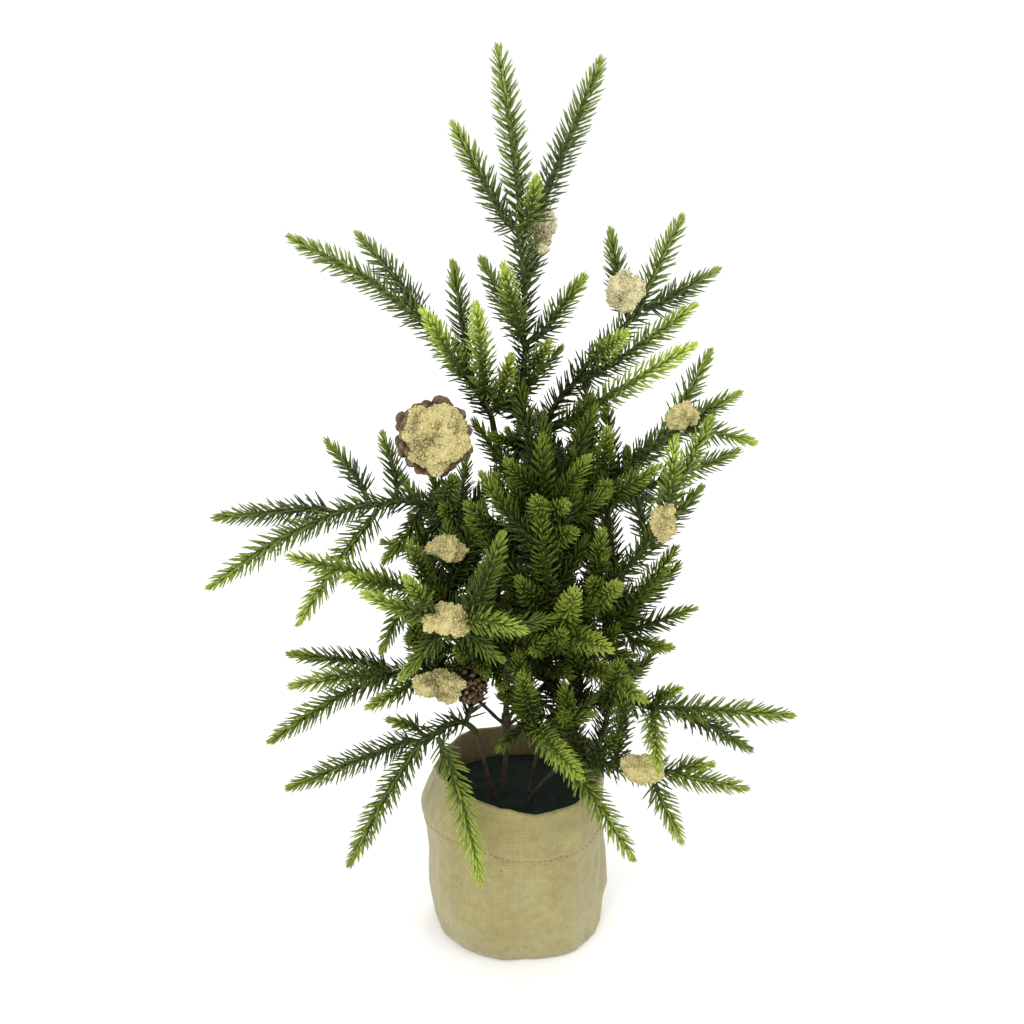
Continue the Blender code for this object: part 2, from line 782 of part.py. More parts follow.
def lumpy_ball(name, half_sizes, seed):
    """A clump of set foam granules: a ball with uneven lumps."""
    chance = random.Random(seed)
    shape = bmesh.new()
    bmesh.ops.create_icosphere(shape, subdivisions=2, radius=1.0)
    for vert in shape.verts:
        vert.co *= 1.0 - 0.16 * chance.random()
        vert.co = Vector([c * size for c, size in zip(vert.co, half_sizes)])
    mesh = bpy.data.meshes.new(name)
    shape.to_mesh(mesh)
    shape.free()
    shade_smooth(mesh)
    return mesh


def build_snow(cone_cutters):
    snow = material("snow", (0.78, 0.72, 0.50), 1.0)
    for index, (name, (spray, middle, half_sizes)) in enumerate(CLUMPS.items()):
        sizes = [size * CM for size in half_sizes]
        pivot = PIVOTS[spray]
        clump = add_object(f"snow_{name}", lumpy_ball(f"snow_{name}", sizes, index), snow, pivot)
        clump.location = Vector(middle) * CM - PLACE[spray]
        seats = bpy.data.collections.new(f"seats_{name}")
        CUTTERS.children.link(seats)
        for line in SHOOT_LINES[spray]:
            fat = even_tube("seat", line, SPRIG_RADIUS + GAP)
            seat = add_object(f"seat_{name}", fat, None, pivot)
            CUTTERS.objects.unlink(seat)
            seats.objects.link(seat)
        boolean(clump, seats, "DIFFERENCE")
        if spray == CONES["small"]["branch"]:
            boolean(clump, cone_cutters["small"], "DIFFERENCE")

    cone = CONES["large"]
    half = cone["length"] * CM / 2
    sizes = (0.9 * cone["radius"] * CM, 0.9 * cone["radius"] * CM, 0.55 * half)
    shape = lumpy_ball("snow_cone_crust", sizes, len(CLUMPS))
    crust = add_object("snow_cone_crust", shape, snow, PIVOTS[cone["branch"]])
    place = Vector(cone["middle"]) * CM - PLACE[cone["branch"]]
    crust.matrix_local = towards(cone["points"], place) @ Matrix.Translation((0, 0, 0.85 * half))
    boolean(crust, cone_cutters["large"], "DIFFERENCE")


def build_tree():
    rod_line = rounded_line(in_metres(TRUNK), 60 * MM)
    build_bag()
    bore = build_pot(rod_line)
    build_trunk(rod_line, bore)
    for name, branch in BRANCHES.items():
        build_branch(name, branch)
    build_leader()
    cone_cutters = {name: build_cone(name, cone) for name, cone in CONES.items()}
    build_snow(cone_cutters)
    for obj, other, operation in JOINERY:
        add_boolean(obj, other, operation)


clear_scene()
PARTS = new_collection("tabletop_tree")
CUTTERS = new_collection("cutters", helper=True)
PLACE = {}
PIVOTS = {}
SHOOT_LINES = {}
JOINERY = []
build_tree()
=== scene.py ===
import heapq
import json
import math
from collections import defaultdict

import bmesh
import bpy
import numpy as np
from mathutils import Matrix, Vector, noise
from mathutils.bvhtree import BVHTree

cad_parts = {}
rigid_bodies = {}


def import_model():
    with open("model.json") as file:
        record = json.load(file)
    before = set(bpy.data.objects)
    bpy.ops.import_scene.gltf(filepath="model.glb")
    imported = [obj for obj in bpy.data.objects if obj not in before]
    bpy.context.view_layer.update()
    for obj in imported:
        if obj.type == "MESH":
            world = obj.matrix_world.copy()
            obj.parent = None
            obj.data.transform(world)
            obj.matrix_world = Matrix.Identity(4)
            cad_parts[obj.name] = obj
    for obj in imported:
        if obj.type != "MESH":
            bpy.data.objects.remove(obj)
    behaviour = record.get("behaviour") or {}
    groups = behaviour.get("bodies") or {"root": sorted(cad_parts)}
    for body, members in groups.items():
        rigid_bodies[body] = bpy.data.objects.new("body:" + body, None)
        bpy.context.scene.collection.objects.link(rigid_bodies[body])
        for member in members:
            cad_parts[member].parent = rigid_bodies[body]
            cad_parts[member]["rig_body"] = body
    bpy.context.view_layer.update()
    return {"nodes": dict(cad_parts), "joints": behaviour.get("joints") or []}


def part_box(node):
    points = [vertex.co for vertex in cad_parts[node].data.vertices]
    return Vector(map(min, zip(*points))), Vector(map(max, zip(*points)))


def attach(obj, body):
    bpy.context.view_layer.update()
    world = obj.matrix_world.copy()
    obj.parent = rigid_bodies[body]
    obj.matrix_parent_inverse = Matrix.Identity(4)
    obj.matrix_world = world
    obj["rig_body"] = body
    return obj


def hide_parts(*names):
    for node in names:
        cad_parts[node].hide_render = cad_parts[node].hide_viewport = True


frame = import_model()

MM = 0.001
GOLDEN = math.pi * (3 - math.sqrt(5))

# Centre lines read from the solids. The last few points of a line are cut off, because the needles
# at a sprig's tip reach further than the solid does.
WELD = 0.02 * MM
LONGEST_EDGE = 2.6 * MM
SLAB = 3 * MM
START_PATCH = 1.5 * MM
SHORTEST_SHOOT = 16 * MM
LINE_STEP = 2 * MM
TRIMMED = 2

# Foliage.
STEM_RADIUS = 2.3 * MM
SHOOT_RADIUS = 1.8 * MM
SHOOT_TIP_RADIUS = 0.6 * MM
SHOOT_TAPER = 40 * MM
BARE_STEM = 14 * MM
BARE_STEM_RADIUS = 1.9 * MM
LEADER_SLEEVE = 12 * MM
INNER_SPRIGS = 22
INNER_LENGTH = 46 * MM
INNER_POINTS = 12
# inner sprigs get a quarter of the lime, as painted shade in the heart of the tree
INNER_LIME_IN_PAINTED_SHADE = 0.25
STEM_LIME = 0.6
NEEDLE_ROWS = 6
FIRST_WHORL = 4 * MM
WHORL_STEP = 2.9 * MM
NEEDLE_LENGTH = 14.0 * MM
NEEDLE_HALF_WIDTH = 0.78 * MM
NEEDLE_HALF_THICKNESS = 0.60 * MM
NEEDLE_POINTS = 13
TIP_NEEDLES = 9
TIP_LENGTH = 3 * MM

# Wires, rod and tape.
ROD_RADIUS = 2.0 * MM
ROD_SIDES = 16
BRANCH_WIRE_RADIUS = 1.25 * MM
PICK_WIRE_RADIUS = 0.8 * MM
TAPE_STEP = 0.35 * MM
TAPE_WIDTH = 2.8 * MM
TAPE_SIDES = 20

# Bag. BAG_RADIUS is only for lengths round the bag, of the weave and of the stitches.
BAG_COLUMNS = 288
BAG_RADIUS = 62 * MM
RIM_READINGS = 120
CUFF_DEPTH = 34 * MM
CLOTH = 1.2 * MM
RIM_ROLL = 1.35 * MM
ROLL_DEPTH = 2.2 * MM
STITCH = 3.1 * MM
STITCH_GAP = 1.0 * MM
THREAD_RADIUS = 0.34 * MM

# Snow and cones.
GRANULE = 1.1 * MM
GRANULE_PITCH = 1.5 * MM
SNOW_COLOUR = (0.53, 0.475, 0.235)
# The next colour is painted shade for the foam's hollows; the one after is painted light, added to
# clumps higher than the height below it.
SNOW_PAINTED_SHADE = (0.22, 0.165, 0.07)
SNOW_PAINTED_LIGHT = (0.10, 0.12, 0.17)
SNOW_PAINTED_LIGHT_FROM = 0.4
CORE_COLOUR = (0.022, 0.014, 0.008)
SCALES = 112
SCALE_SIDES = 6
SCALE_DARK = np.array((0.030, 0.019, 0.010))
SCALE_PALE = np.array((0.170, 0.115, 0.058))

# Camera, at the photo's viewing angle.
CAMERA_PLACE = (-0.003, -0.935, 0.655)
CAMERA_PITCH = 20.4
CAMERA_LENS = 54.1

# Stage. For each lamp: its name, place, side and power. All of them face LIT_PLACE.
FLOOR_SIZE = 12.0
LIT_PLACE = (0, 0, 0.3)
DAYLIGHT = 1.05
LAMPS = (
    ("key", (-0.9, -1.6, 1.7), 1.2, 22.0),
    ("fill", (1.5, -1.2, 1.0), 1.2, 9.0),
    ("back", (0.4, 1.6, 1.6), 1.0, 8.0),
)


# Meshes


def new_piece(name, points, faces, finish, body, replaced=(), smooth=True):
    """A mesh piece that rides on a body and stands for the CAD nodes named."""
    mesh = bpy.data.meshes.new(name)
    mesh.from_pydata([tuple(p) for p in points], [], [tuple(f) for f in faces])
    mesh.materials.append(finish)
    if smooth:
        mesh.shade_smooth()
    piece = bpy.data.objects.new(name, mesh)
    bpy.context.scene.collection.objects.link(piece)
    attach(piece, body)
    if replaced:
        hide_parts(*replaced)
    return piece


def paint(piece, name, values):
    """A colour for each point of the piece, kept as an attribute for its material."""
    layer = piece.data.color_attributes.new(name, "FLOAT_COLOR", "POINT")
    colours = np.ones((len(values), 4), np.float32)
    colours[:, : values.shape[1]] = values
    layer.data.foreach_set("color", colours.ravel())


def mark(piece, name, values):
    layer = piece.data.attributes.new(name, "FLOAT", "POINT")
    layer.data.foreach_set("value", np.asarray(values, np.float32))


class Shape:
    """Points, faces and point colours gathered from many small parts."""

    def __init__(self):
        self.points = []
        self.faces = []
        self.colours = []
        self.count = 0

    def add(self, points, faces, colours):
        points = np.asarray(points, float).reshape(-1, 3)
        self.points.append(points)
        self.faces.extend(tuple(i + self.count for i in face) for face in faces)
        self.colours.append(np.broadcast_to(np.asarray(colours, float), (len(points), 3)))
        self.count += len(points)

    def add_copies(self, points, pattern, colours):
        """Many copies of one face pattern: points and colours are (copies, points, 3)."""
        copies, each = points.shape[:2]
        for copy in range(copies):
            start = self.count + copy * each
            self.faces.extend(tuple(i + start for i in face) for face in pattern)
        self.points.append(points.reshape(-1, 3))
        self.colours.append(colours.reshape(-1, 3))
        self.count += copies * each

    def piece(self, name, finish, body, slot, replaced=()):
        made = new_piece(name, np.concatenate(self.points), self.faces, finish, body, replaced)
        paint(made, "Tint", np.concatenate(self.colours))
        return made


def length_along(line):
    steps = np.linalg.norm(np.diff(line, axis=0), axis=1)
    return np.concatenate([[0.0], np.cumsum(steps)])


def resampled(line, step):
    along = length_along(line)
    count = max(3, int(along[-1] / step) + 1)
    places = np.linspace(0, along[-1], count)
    return np.stack([np.interp(places, along, line[:, axis]) for axis in range(3)], axis=1)


def smoothed(line, passes=4):
    line = line.copy()
    for _ in range(passes):
        line[1:-1] = (line[:-2] + 2 * line[1:-1] + line[2:]) / 4
    return line


def frames(line):
    """The tangent and two crossing directions at each point, turning as little as they can."""
    tangents = np.gradient(line, axis=0)
    tangents /= np.linalg.norm(tangents, axis=1)[:, None]
    start = np.cross(tangents[0], (0.31, 0.17, 0.93))
    normals = [start / np.linalg.norm(start)]
    for tangent in tangents[1:]:
        normal = normals[-1] - tangent * (normals[-1] @ tangent)
        normals.append(normal / np.linalg.norm(normal))
    normals = np.array(normals)
    return tangents, normals, np.cross(tangents, normals)


def tube(line, radii, sides=8):
    """A closed round tube's points and faces."""
    _, normals, crossings = frames(line)
    points = []
    for place, normal, crossing, radius in zip(line, normals, crossings, radii):
        for side in range(sides):
            angle = 2 * math.pi * side / sides
            points.append(place + radius * (normal * math.cos(angle) + crossing * math.sin(angle)))
    faces = []
    for ring in range(len(line) - 1):
        low = ring * sides
        for side in range(sides):
            other = (side + 1) % sides
            faces.append((low + side, low + other, low + sides + other, low + sides + side))
    last = (len(line) - 1) * sides
    faces.append(tuple(reversed(range(sides))))
    faces.append(tuple(last + side for side in range(sides)))
    return points, faces


# Readings from the solids


def solid_surface(node):
    """A solid's points, and its surface made ready for rays."""
    mesh = frame["nodes"][node].data
    points = [v.co.copy() for v in mesh.vertices]
    return points, BVHTree.FromPolygons(points, [tuple(f.vertices) for f in mesh.polygons])


def fine_surface(mesh):
    """The mesh's points and each one's neighbours, once every long edge has been halved."""
    places = {}
    index = []
    points = []
    for vert in mesh.vertices:
        key = tuple(round(c / WELD) for c in vert.co)
        if key not in places:
            places[key] = len(points)
            points.append(vert.co.copy())
        index.append(places[key])
    mesh.calc_loop_triangles()
    waiting = [tuple(index[i] for i in tri.vertices) for tri in mesh.loop_triangles]
    neighbours = defaultdict(set)
    halves = {}
    while waiting:
        a, b, c = waiting.pop()
        turns = ((a, b, c), (b, c, a), (c, a, b))
        a, b, c = max(turns, key=lambda turn: (points[turn[0]] - points[turn[1]]).length)
        if (points[a] - points[b]).length <= LONGEST_EDGE:
            for one, other in ((a, b), (b, c), (c, a)):
                neighbours[one].add(other)
                neighbours[other].add(one)
            continue
        edge = (min(a, b), max(a, b))
        if edge not in halves:
            halves[edge] = len(points)
            points.append((points[a] + points[b]) / 2)
        middle = halves[edge]
        waiting += [(a, middle, c), (middle, b, c)]
    return points, neighbours


def distances_from(points, neighbours, start):
    """How far each point is from the start, going over the surface."""
    nearest = min((points[i] - start).length for i in neighbours)
    far = {i: 0.0 for i in neighbours if (points[i] - start).length < nearest + START_PATCH}
    queue = [(0.0, i) for i in far]
    while queue:
        distance, here = heapq.heappop(queue)
        if distance > far[here]:
            continue
        for other in neighbours[here]:
            through = distance + (points[other] - points[here]).length
            if through < far.get(other, math.inf):
                far[other] = through
                heapq.heappush(queue, (through, other))
    return far


def rings_of(points, neighbours, far):
    """The surface cut into slabs of distance: each ring's middle and the ring before it."""
    slab = {i: int(distance / SLAB) for i, distance in far.items()}
    ring_of = {}
    middles = []
    parents = []
    for first in sorted(far, key=lambda i: (far[i], i)):
        if first in ring_of:
            continue
        number = len(middles)
        ring_of[first] = number
        members = [first]
        for member in members:
            for other in sorted(neighbours[member]):
                if other not in ring_of and slab.get(other) == slab[first]:
                    ring_of[other] = number
                    members.append(other)
        before = [
            ring_of[other]
            for member in members
            for other in neighbours[member]
            if slab.get(other) == slab[first] - 1
        ]
        middles.append(sum((points[i] for i in members), Vector()) / len(members))
        parents.append(before[0] if before else -1)
    return np.array(middles), parents


def centre_lines(node, start):
    """The lines through the middle of a branching solid, the longest first."""
    points, neighbours = fine_surface(frame["nodes"][node].data)
    far = distances_from(points, neighbours, Vector(start))
    middles, parents = rings_of(points, neighbours, far)
    children = defaultdict(list)
    reach = [0] * len(parents)
    for ring in reversed(range(len(parents))):
        if parents[ring] >= 0:
            children[parents[ring]].append(ring)
            reach[parents[ring]] = max(reach[parents[ring]], reach[ring] + 1)
    lines = []
    starts = [(-1, 0)]
    while starts:
        before, ring = starts.pop()
        line = [] if before < 0 else [middles[before]]
        line.append(middles[ring])
        while children[ring]:
            onward = max(children[ring], key=lambda child: reach[child])
            starts += [(ring, child) for child in children[ring] if child != onward]
            ring = onward
            line.append(middles[ring])
        if (len(line) - 1) * SLAB >= SHORTEST_SHOOT:
            lines.append(resampled(smoothed(np.array(line)), LINE_STEP))
    return sorted(lines, key=lambda line: -length_along(line)[-1])


# Materials


def plain_material(name, roughness, specular=0.4):
    """A material with its node tree, its Principled node and a helper that adds nodes."""
    made = bpy.data.materials.new(name)
    made.use_nodes = True
    tree = made.node_tree
    shader = tree.nodes["Principled BSDF"]
    shader.inputs["Roughness"].default_value = roughness
    shader.inputs["Specular IOR Level"].default_value = specular

    def node(kind, **inputs):
        added = tree.nodes.new(kind)
        for key, value in inputs.items():
            socket = added.inputs[key.replace("_", " ")]
            if isinstance(value, bpy.types.NodeSocket):
                tree.links.new(value, socket)
            else:
                socket.default_value = value
        return added

    return made, tree, shader, node


def ramp(tree, factor, stops):
    """A colour ramp over (position, colour) stops."""
    made = tree.nodes.new("ShaderNodeValToRGB")
    tree.links.new(factor, made.inputs["Fac"])
    elements = made.color_ramp.elements
    while len(elements) < len(stops):
        elements.new(0.5)
    for element, (position, colour) in zip(elements, stops):
        element.position = position
        element.color = (*colour, 1.0)
    return made.outputs["Color"]


def mixed(tree, factor, first, second, kind="MIX"):
    """Two colours mixed. The factor is a number or a socket, and so is each colour."""
    made = tree.nodes.new("ShaderNodeMix")
    made.data_type = "RGBA"
    made.blend_type = kind
    for socket, value in zip((made.inputs[0], made.inputs[6], made.inputs[7]), (factor, first, second)):
        if isinstance(value, bpy.types.NodeSocket):
            tree.links.new(value, socket)
        elif isinstance(value, tuple):
            socket.default_value = (*value, 1.0)
        else:
            socket.default_value = value
    return made.outputs[2]


def add_bump(tree, shader, height, strength, depth):
    bump = tree.nodes.new("ShaderNodeBump")
    bump.inputs["Strength"].default_value = strength
    bump.inputs["Distance"].default_value = depth
    tree.links.new(height, bump.inputs["Height"])
    tree.links.new(bump.outputs["Normal"], shader.inputs["Normal"])


def tint_of(tree):
    attribute = tree.nodes.new("ShaderNodeAttribute")
    attribute.attribute_name = "Tint"
    return attribute.outputs["Color"]


def coordinates(tree):
    return tree.nodes.new("ShaderNodeTexCoord").outputs["Object"]


def needle_material():
    """Moulded polythene: the tint of each needle, mottled, with a soft waxy shine."""
    made, tree, shader, node = plain_material("needle_polythene", 0.55, 0.14)
    place = coordinates(tree)
    mottle = node("ShaderNodeTexNoise", Vector=place, Scale=420.0, Detail=3.0).outputs["Fac"]
    shade = ramp(tree, mottle, ((0.3, (0.72, 0.72, 0.72)), (0.7, (1.22, 1.22, 1.16))))
    colour = mixed(tree, 1.0, tint_of(tree), shade, "MULTIPLY")
    tree.links.new(colour, shader.inputs["Base Color"])
    grain = node("ShaderNodeTexNoise", Vector=place, Scale=1600.0, Detail=2.0).outputs["Fac"]
    add_bump(tree, shader, grain, 0.35, 0.15 * MM)
    rough = node("ShaderNodeMapRange", Value=mottle, To_Min=0.42, To_Max=0.62).outputs["Result"]
    tree.links.new(rough, shader.inputs["Roughness"])
    return made


def bark_material(name, dark, light, scale):
    """Brown plastic or waxed tape wound round a wire."""
    made, tree, shader, node = plain_material(name, 0.6)
    place = coordinates(tree)
    cloud = node("ShaderNodeTexNoise", Vector=place, Scale=scale, Detail=5.0).outputs["Fac"]
    colour = ramp(tree, cloud, ((0.3, dark), (0.72, light)))
    tree.links.new(colour, shader.inputs["Base Color"])
    wound = node("ShaderNodeTexWave", Vector=place, Scale=scale, Distortion=4.0, Detail=3.0)
    wound.bands_direction = "Z"
    add_bump(tree, shader, wound.outputs["Fac"], 0.5, 0.3 * MM)
    rough = node("ShaderNodeMapRange", Value=cloud, To_Min=0.45, To_Max=0.8).outputs["Result"]
    tree.links.new(rough, shader.inputs["Roughness"])
    return made


def foam_material():
    made, tree, shader, node = plain_material("foam_cells", 0.95, 0.15)
    place = coordinates(tree)
    cells = node("ShaderNodeTexVoronoi", Vector=place, Scale=900.0).outputs["Distance"]
    cloud = node("ShaderNodeTexNoise", Vector=place, Scale=90.0, Detail=4.0).outputs["Fac"]
    colour = ramp(tree, cloud, ((0.3, (0.004, 0.011, 0.006)), (0.75, (0.014, 0.03, 0.017))))
    # painted shade: the pits of the cells are painted near black
    colour = mixed(tree, cells, (0.002, 0.004, 0.003), colour)
    tree.links.new(colour, shader.inputs["Base Color"])
    add_bump(tree, shader, cells, 0.8, 0.6 * MM)
    return made


def snow_material():
    made, tree, shader, node = plain_material("snow_granules", 0.9, 0.2)
    place = coordinates(tree)
    cloud = node("ShaderNodeTexNoise", Vector=place, Scale=260.0, Detail=4.0).outputs["Fac"]
    shade = ramp(tree, cloud, ((0.3, (0.86, 0.83, 0.72)), (0.7, (1.08, 1.06, 1.0))))
    tree.links.new(mixed(tree, 1.0, tint_of(tree), shade, "MULTIPLY"), shader.inputs["Base Color"])
    grain = node("ShaderNodeTexNoise", Vector=place, Scale=1500.0, Detail=3.0).outputs["Fac"]
    add_bump(tree, shader, grain, 0.7, 0.35 * MM)
    shader.inputs["Subsurface Weight"].default_value = 0.12
    shader.inputs["Subsurface Radius"].default_value = (1.0, 0.8, 0.5)
    shader.inputs["Subsurface Scale"].default_value = 1.2 * MM
    return made


def cone_material():
    made, tree, shader, node = plain_material("cone_scales", 0.72)
    place = coordinates(tree)
    grain = node("ShaderNodeTexNoise", Vector=place, Scale=480.0, Detail=5.0).outputs["Fac"]
    shade = ramp(tree, grain, ((0.3, (0.6, 0.58, 0.55)), (0.7, (1.3, 1.25, 1.2))))
    tree.links.new(mixed(tree, 1.0, tint_of(tree), shade, "MULTIPLY"), shader.inputs["Base Color"])
    add_bump(tree, shader, grain, 0.6, 0.4 * MM)
    return made


def linen_material(name, woven=True):
    """Plain-weave linen. On the bag the threads run round and up it, by its Weave map, and its inner
    wall is painted darker and browner as shade.
    """
    made, tree, shader, node = plain_material(name, 0.92, 0.12)
    place = coordinates(tree)
    if woven:
        weave_map = tree.nodes.new("ShaderNodeUVMap")
        weave_map.uv_map = "Weave"
        weave_place = weave_map.outputs["UV"]
    else:
        weave_place = place
    waves = []
    for direction in ("X", "Y"):
        wave = node("ShaderNodeTexWave", Vector=weave_place, Scale=262.0, Distortion=0.9, Detail=2.0)
        wave.bands_direction = direction
        waves.append(wave.outputs["Fac"])
    checker = node("ShaderNodeTexChecker", Vector=weave_place, Scale=833.0).outputs["Fac"]
    threads = mixed(tree, checker, waves[0], waves[1])
    cloud = node("ShaderNodeTexNoise", Vector=place, Scale=26.0, Detail=5.0).outputs["Fac"]
    base = ramp(tree, cloud, ((0.3, (0.300, 0.258, 0.100)), (0.7, (0.385, 0.348, 0.160))))
    worn = node("ShaderNodeTexNoise", Vector=place, Scale=170.0, Detail=4.0).outputs["Fac"]
    worn = ramp(tree, worn, ((0.35, (0.9, 0.89, 0.86)), (0.65, (1.06, 1.06, 1.05))))
    base = mixed(tree, 1.0, base, worn, "MULTIPLY")
    # painted shade: the gaps between the threads are painted darker
    weave_shade = ramp(tree, threads, ((0.0, (0.62, 0.58, 0.47)), (0.65, (1.12, 1.12, 1.12))))
    base = mixed(tree, 1.0, base, weave_shade, "MULTIPLY")
    slub_place = node("ShaderNodeMapping", Vector=place, Scale=(1.0, 1.0, 2.6)).outputs["Vector"]
    slubs = node("ShaderNodeTexNoise", Vector=slub_place, Scale=230.0, Detail=1.0).outputs["Fac"]
    slubs = ramp(tree, slubs, ((0.74, (0.0, 0.0, 0.0)), (0.78, (1.0, 1.0, 1.0))))
    base = mixed(tree, slubs, base, (0.15, 0.115, 0.06))
    if woven:
        # painted shade: the inner wall of the bag is painted darker and browner
        inside = tree.nodes.new("ShaderNodeAttribute")
        inside.attribute_name = "Inside"
        painted_inner_colour = mixed(tree, 1.0, base, (0.52, 0.44, 0.38), "MULTIPLY")
        base = mixed(tree, inside.outputs["Fac"], base, painted_inner_colour)
    tree.links.new(base, shader.inputs["Base Color"])
    add_bump(tree, shader, threads, 0.55, 0.45 * MM)
    shader.inputs["Sheen Weight"].default_value = 0.4
    return made


def thread_material():
    made, tree, shader, node = plain_material("sewing_thread", 0.85, 0.2)
    twist = node("ShaderNodeTexWave", Vector=coordinates(tree), Scale=900.0, Distortion=2.0)
    colour = ramp(tree, twist.outputs["Fac"], ((0.2, (0.16, 0.12, 0.05)), (0.8, (0.34, 0.27, 0.13))))
    tree.links.new(colour, shader.inputs["Base Color"])
    add_bump(tree, shader, twist.outputs["Fac"], 0.6, 0.2 * MM)
    return made


def rough_material(name, dark, light, roughness):
    """A cast or moulded surface with a fine uneven grain."""
    made, tree, shader, node = plain_material(name, roughness)
    grain = node("ShaderNodeTexNoise", Vector=coordinates(tree), Scale=190.0, Detail=5.0).outputs["Fac"]
    tree.links.new(ramp(tree, grain, ((0.3, dark), (0.7, light))), shader.inputs["Base Color"])
    add_bump(tree, shader, grain, 0.35, 0.3 * MM)
    return made


NEEDLES = needle_material()
WIRE = bark_material("wire_plastic", (0.020, 0.012, 0.007), (0.062, 0.038, 0.021), 240.0)
TAPE = bark_material("waxed_tape", (0.028, 0.017, 0.010), (0.080, 0.050, 0.028), 300.0)
FOAM = foam_material()
SNOW = snow_material()
CONE = cone_material()
LINEN = linen_material("bag_linen")
PANEL_LINEN = linen_material("panel_linen", woven=False)
THREAD = thread_material()
POT = rough_material("pot_moulding", (0.012, 0.012, 0.012), (0.03, 0.03, 0.03), 0.5)
PLASTER = rough_material("cast_plaster", (0.45, 0.43, 0.40), (0.68, 0.66, 0.62), 0.95)


# Foliage

# A needle is three four-cornered rings and a point. For each ring: its place along the needle, its
# width, and how much paler or darker it is than the needle's own tone.
NEEDLE_RINGS = ((0.0, 0.8, -0.1), (0.45, 1.0, 0.02), (0.82, 0.72, 0.1))
NEEDLE_CORNERS = ((1, 0), (0, 1), (-1, 0), (0, -1))
NEEDLE_TIP_PALER = 0.14


def needle_pattern():
    """The faces of one needle."""
    pattern = [(3, 2, 1, 0)]
    for ring in range(len(NEEDLE_RINGS) - 1):
        for corner in range(4):
            low, other = 4 * ring + corner, 4 * ring + (corner + 1) % 4
            pattern.append((low, other, other + 4, low + 4))
    last = 4 * (len(NEEDLE_RINGS) - 1)
    pattern += [(last + corner, last + (corner + 1) % 4, last + 4) for corner in range(4)]
    return pattern


NEEDLE_PATTERN = needle_pattern()

# The dense heart of the tree: how wide it is at each height.
HEART_HEIGHTS = (0.12, 0.15, 0.18, 0.22, 0.33, 0.42)
HEART_WIDTHS = (0.018, 0.032, 0.058, 0.092, 0.072, 0.034)
HEART_LEAN = 0.008

# Needle colours from the darkest, at the foot of a sprig and in the painted shade of the tree's heart,
# to fresh lime at its tip.
TONES = (
    (0.0, (0.018, 0.029, 0.004)),
    (0.3, (0.042, 0.064, 0.007)),
    (0.55, (0.100, 0.146, 0.013)),
    (0.8, (0.205, 0.268, 0.030)),
    (1.0, (0.300, 0.375, 0.060)),
)


def tone_colour(tone):
    places = [place for place, _ in TONES]
    tone = np.clip(tone, 0, 1)
    return np.stack([np.interp(tone, places, [c[i] for _, c in TONES]) for i in range(3)], axis=-1)


def daylight(points):
    """Painted light and shade: how much lighter and hazier the foliage is painted away from the heart
    of the tree and higher up, and how much darker it is painted in the heart.
    """
    height = points[:, 2]
    width = np.interp(height, HEART_HEIGHTS, HEART_WIDTHS)
    away = np.hypot(points[:, 0] - HEART_LEAN, points[:, 1]) / np.maximum(width, 10 * MM)
    open_air = np.clip((away - 0.6) / 0.9, 0, 1)
    open_air = np.maximum(open_air, np.clip((height - 390 * MM) / (80 * MM), 0, 1))
    high = np.clip((height - 200 * MM) / (200 * MM), 0, 1)
    # painted light and shade: lighter in the open air and high up, darker in the heart; the next line
    # adds a pale painted veil of light
    light = 0.84 + 0.30 * open_air + 0.48 * high * open_air
    painted_haze = 0.003 + 0.016 * open_air * (0.5 + high)
    return light[:, None], painted_haze[:, None]


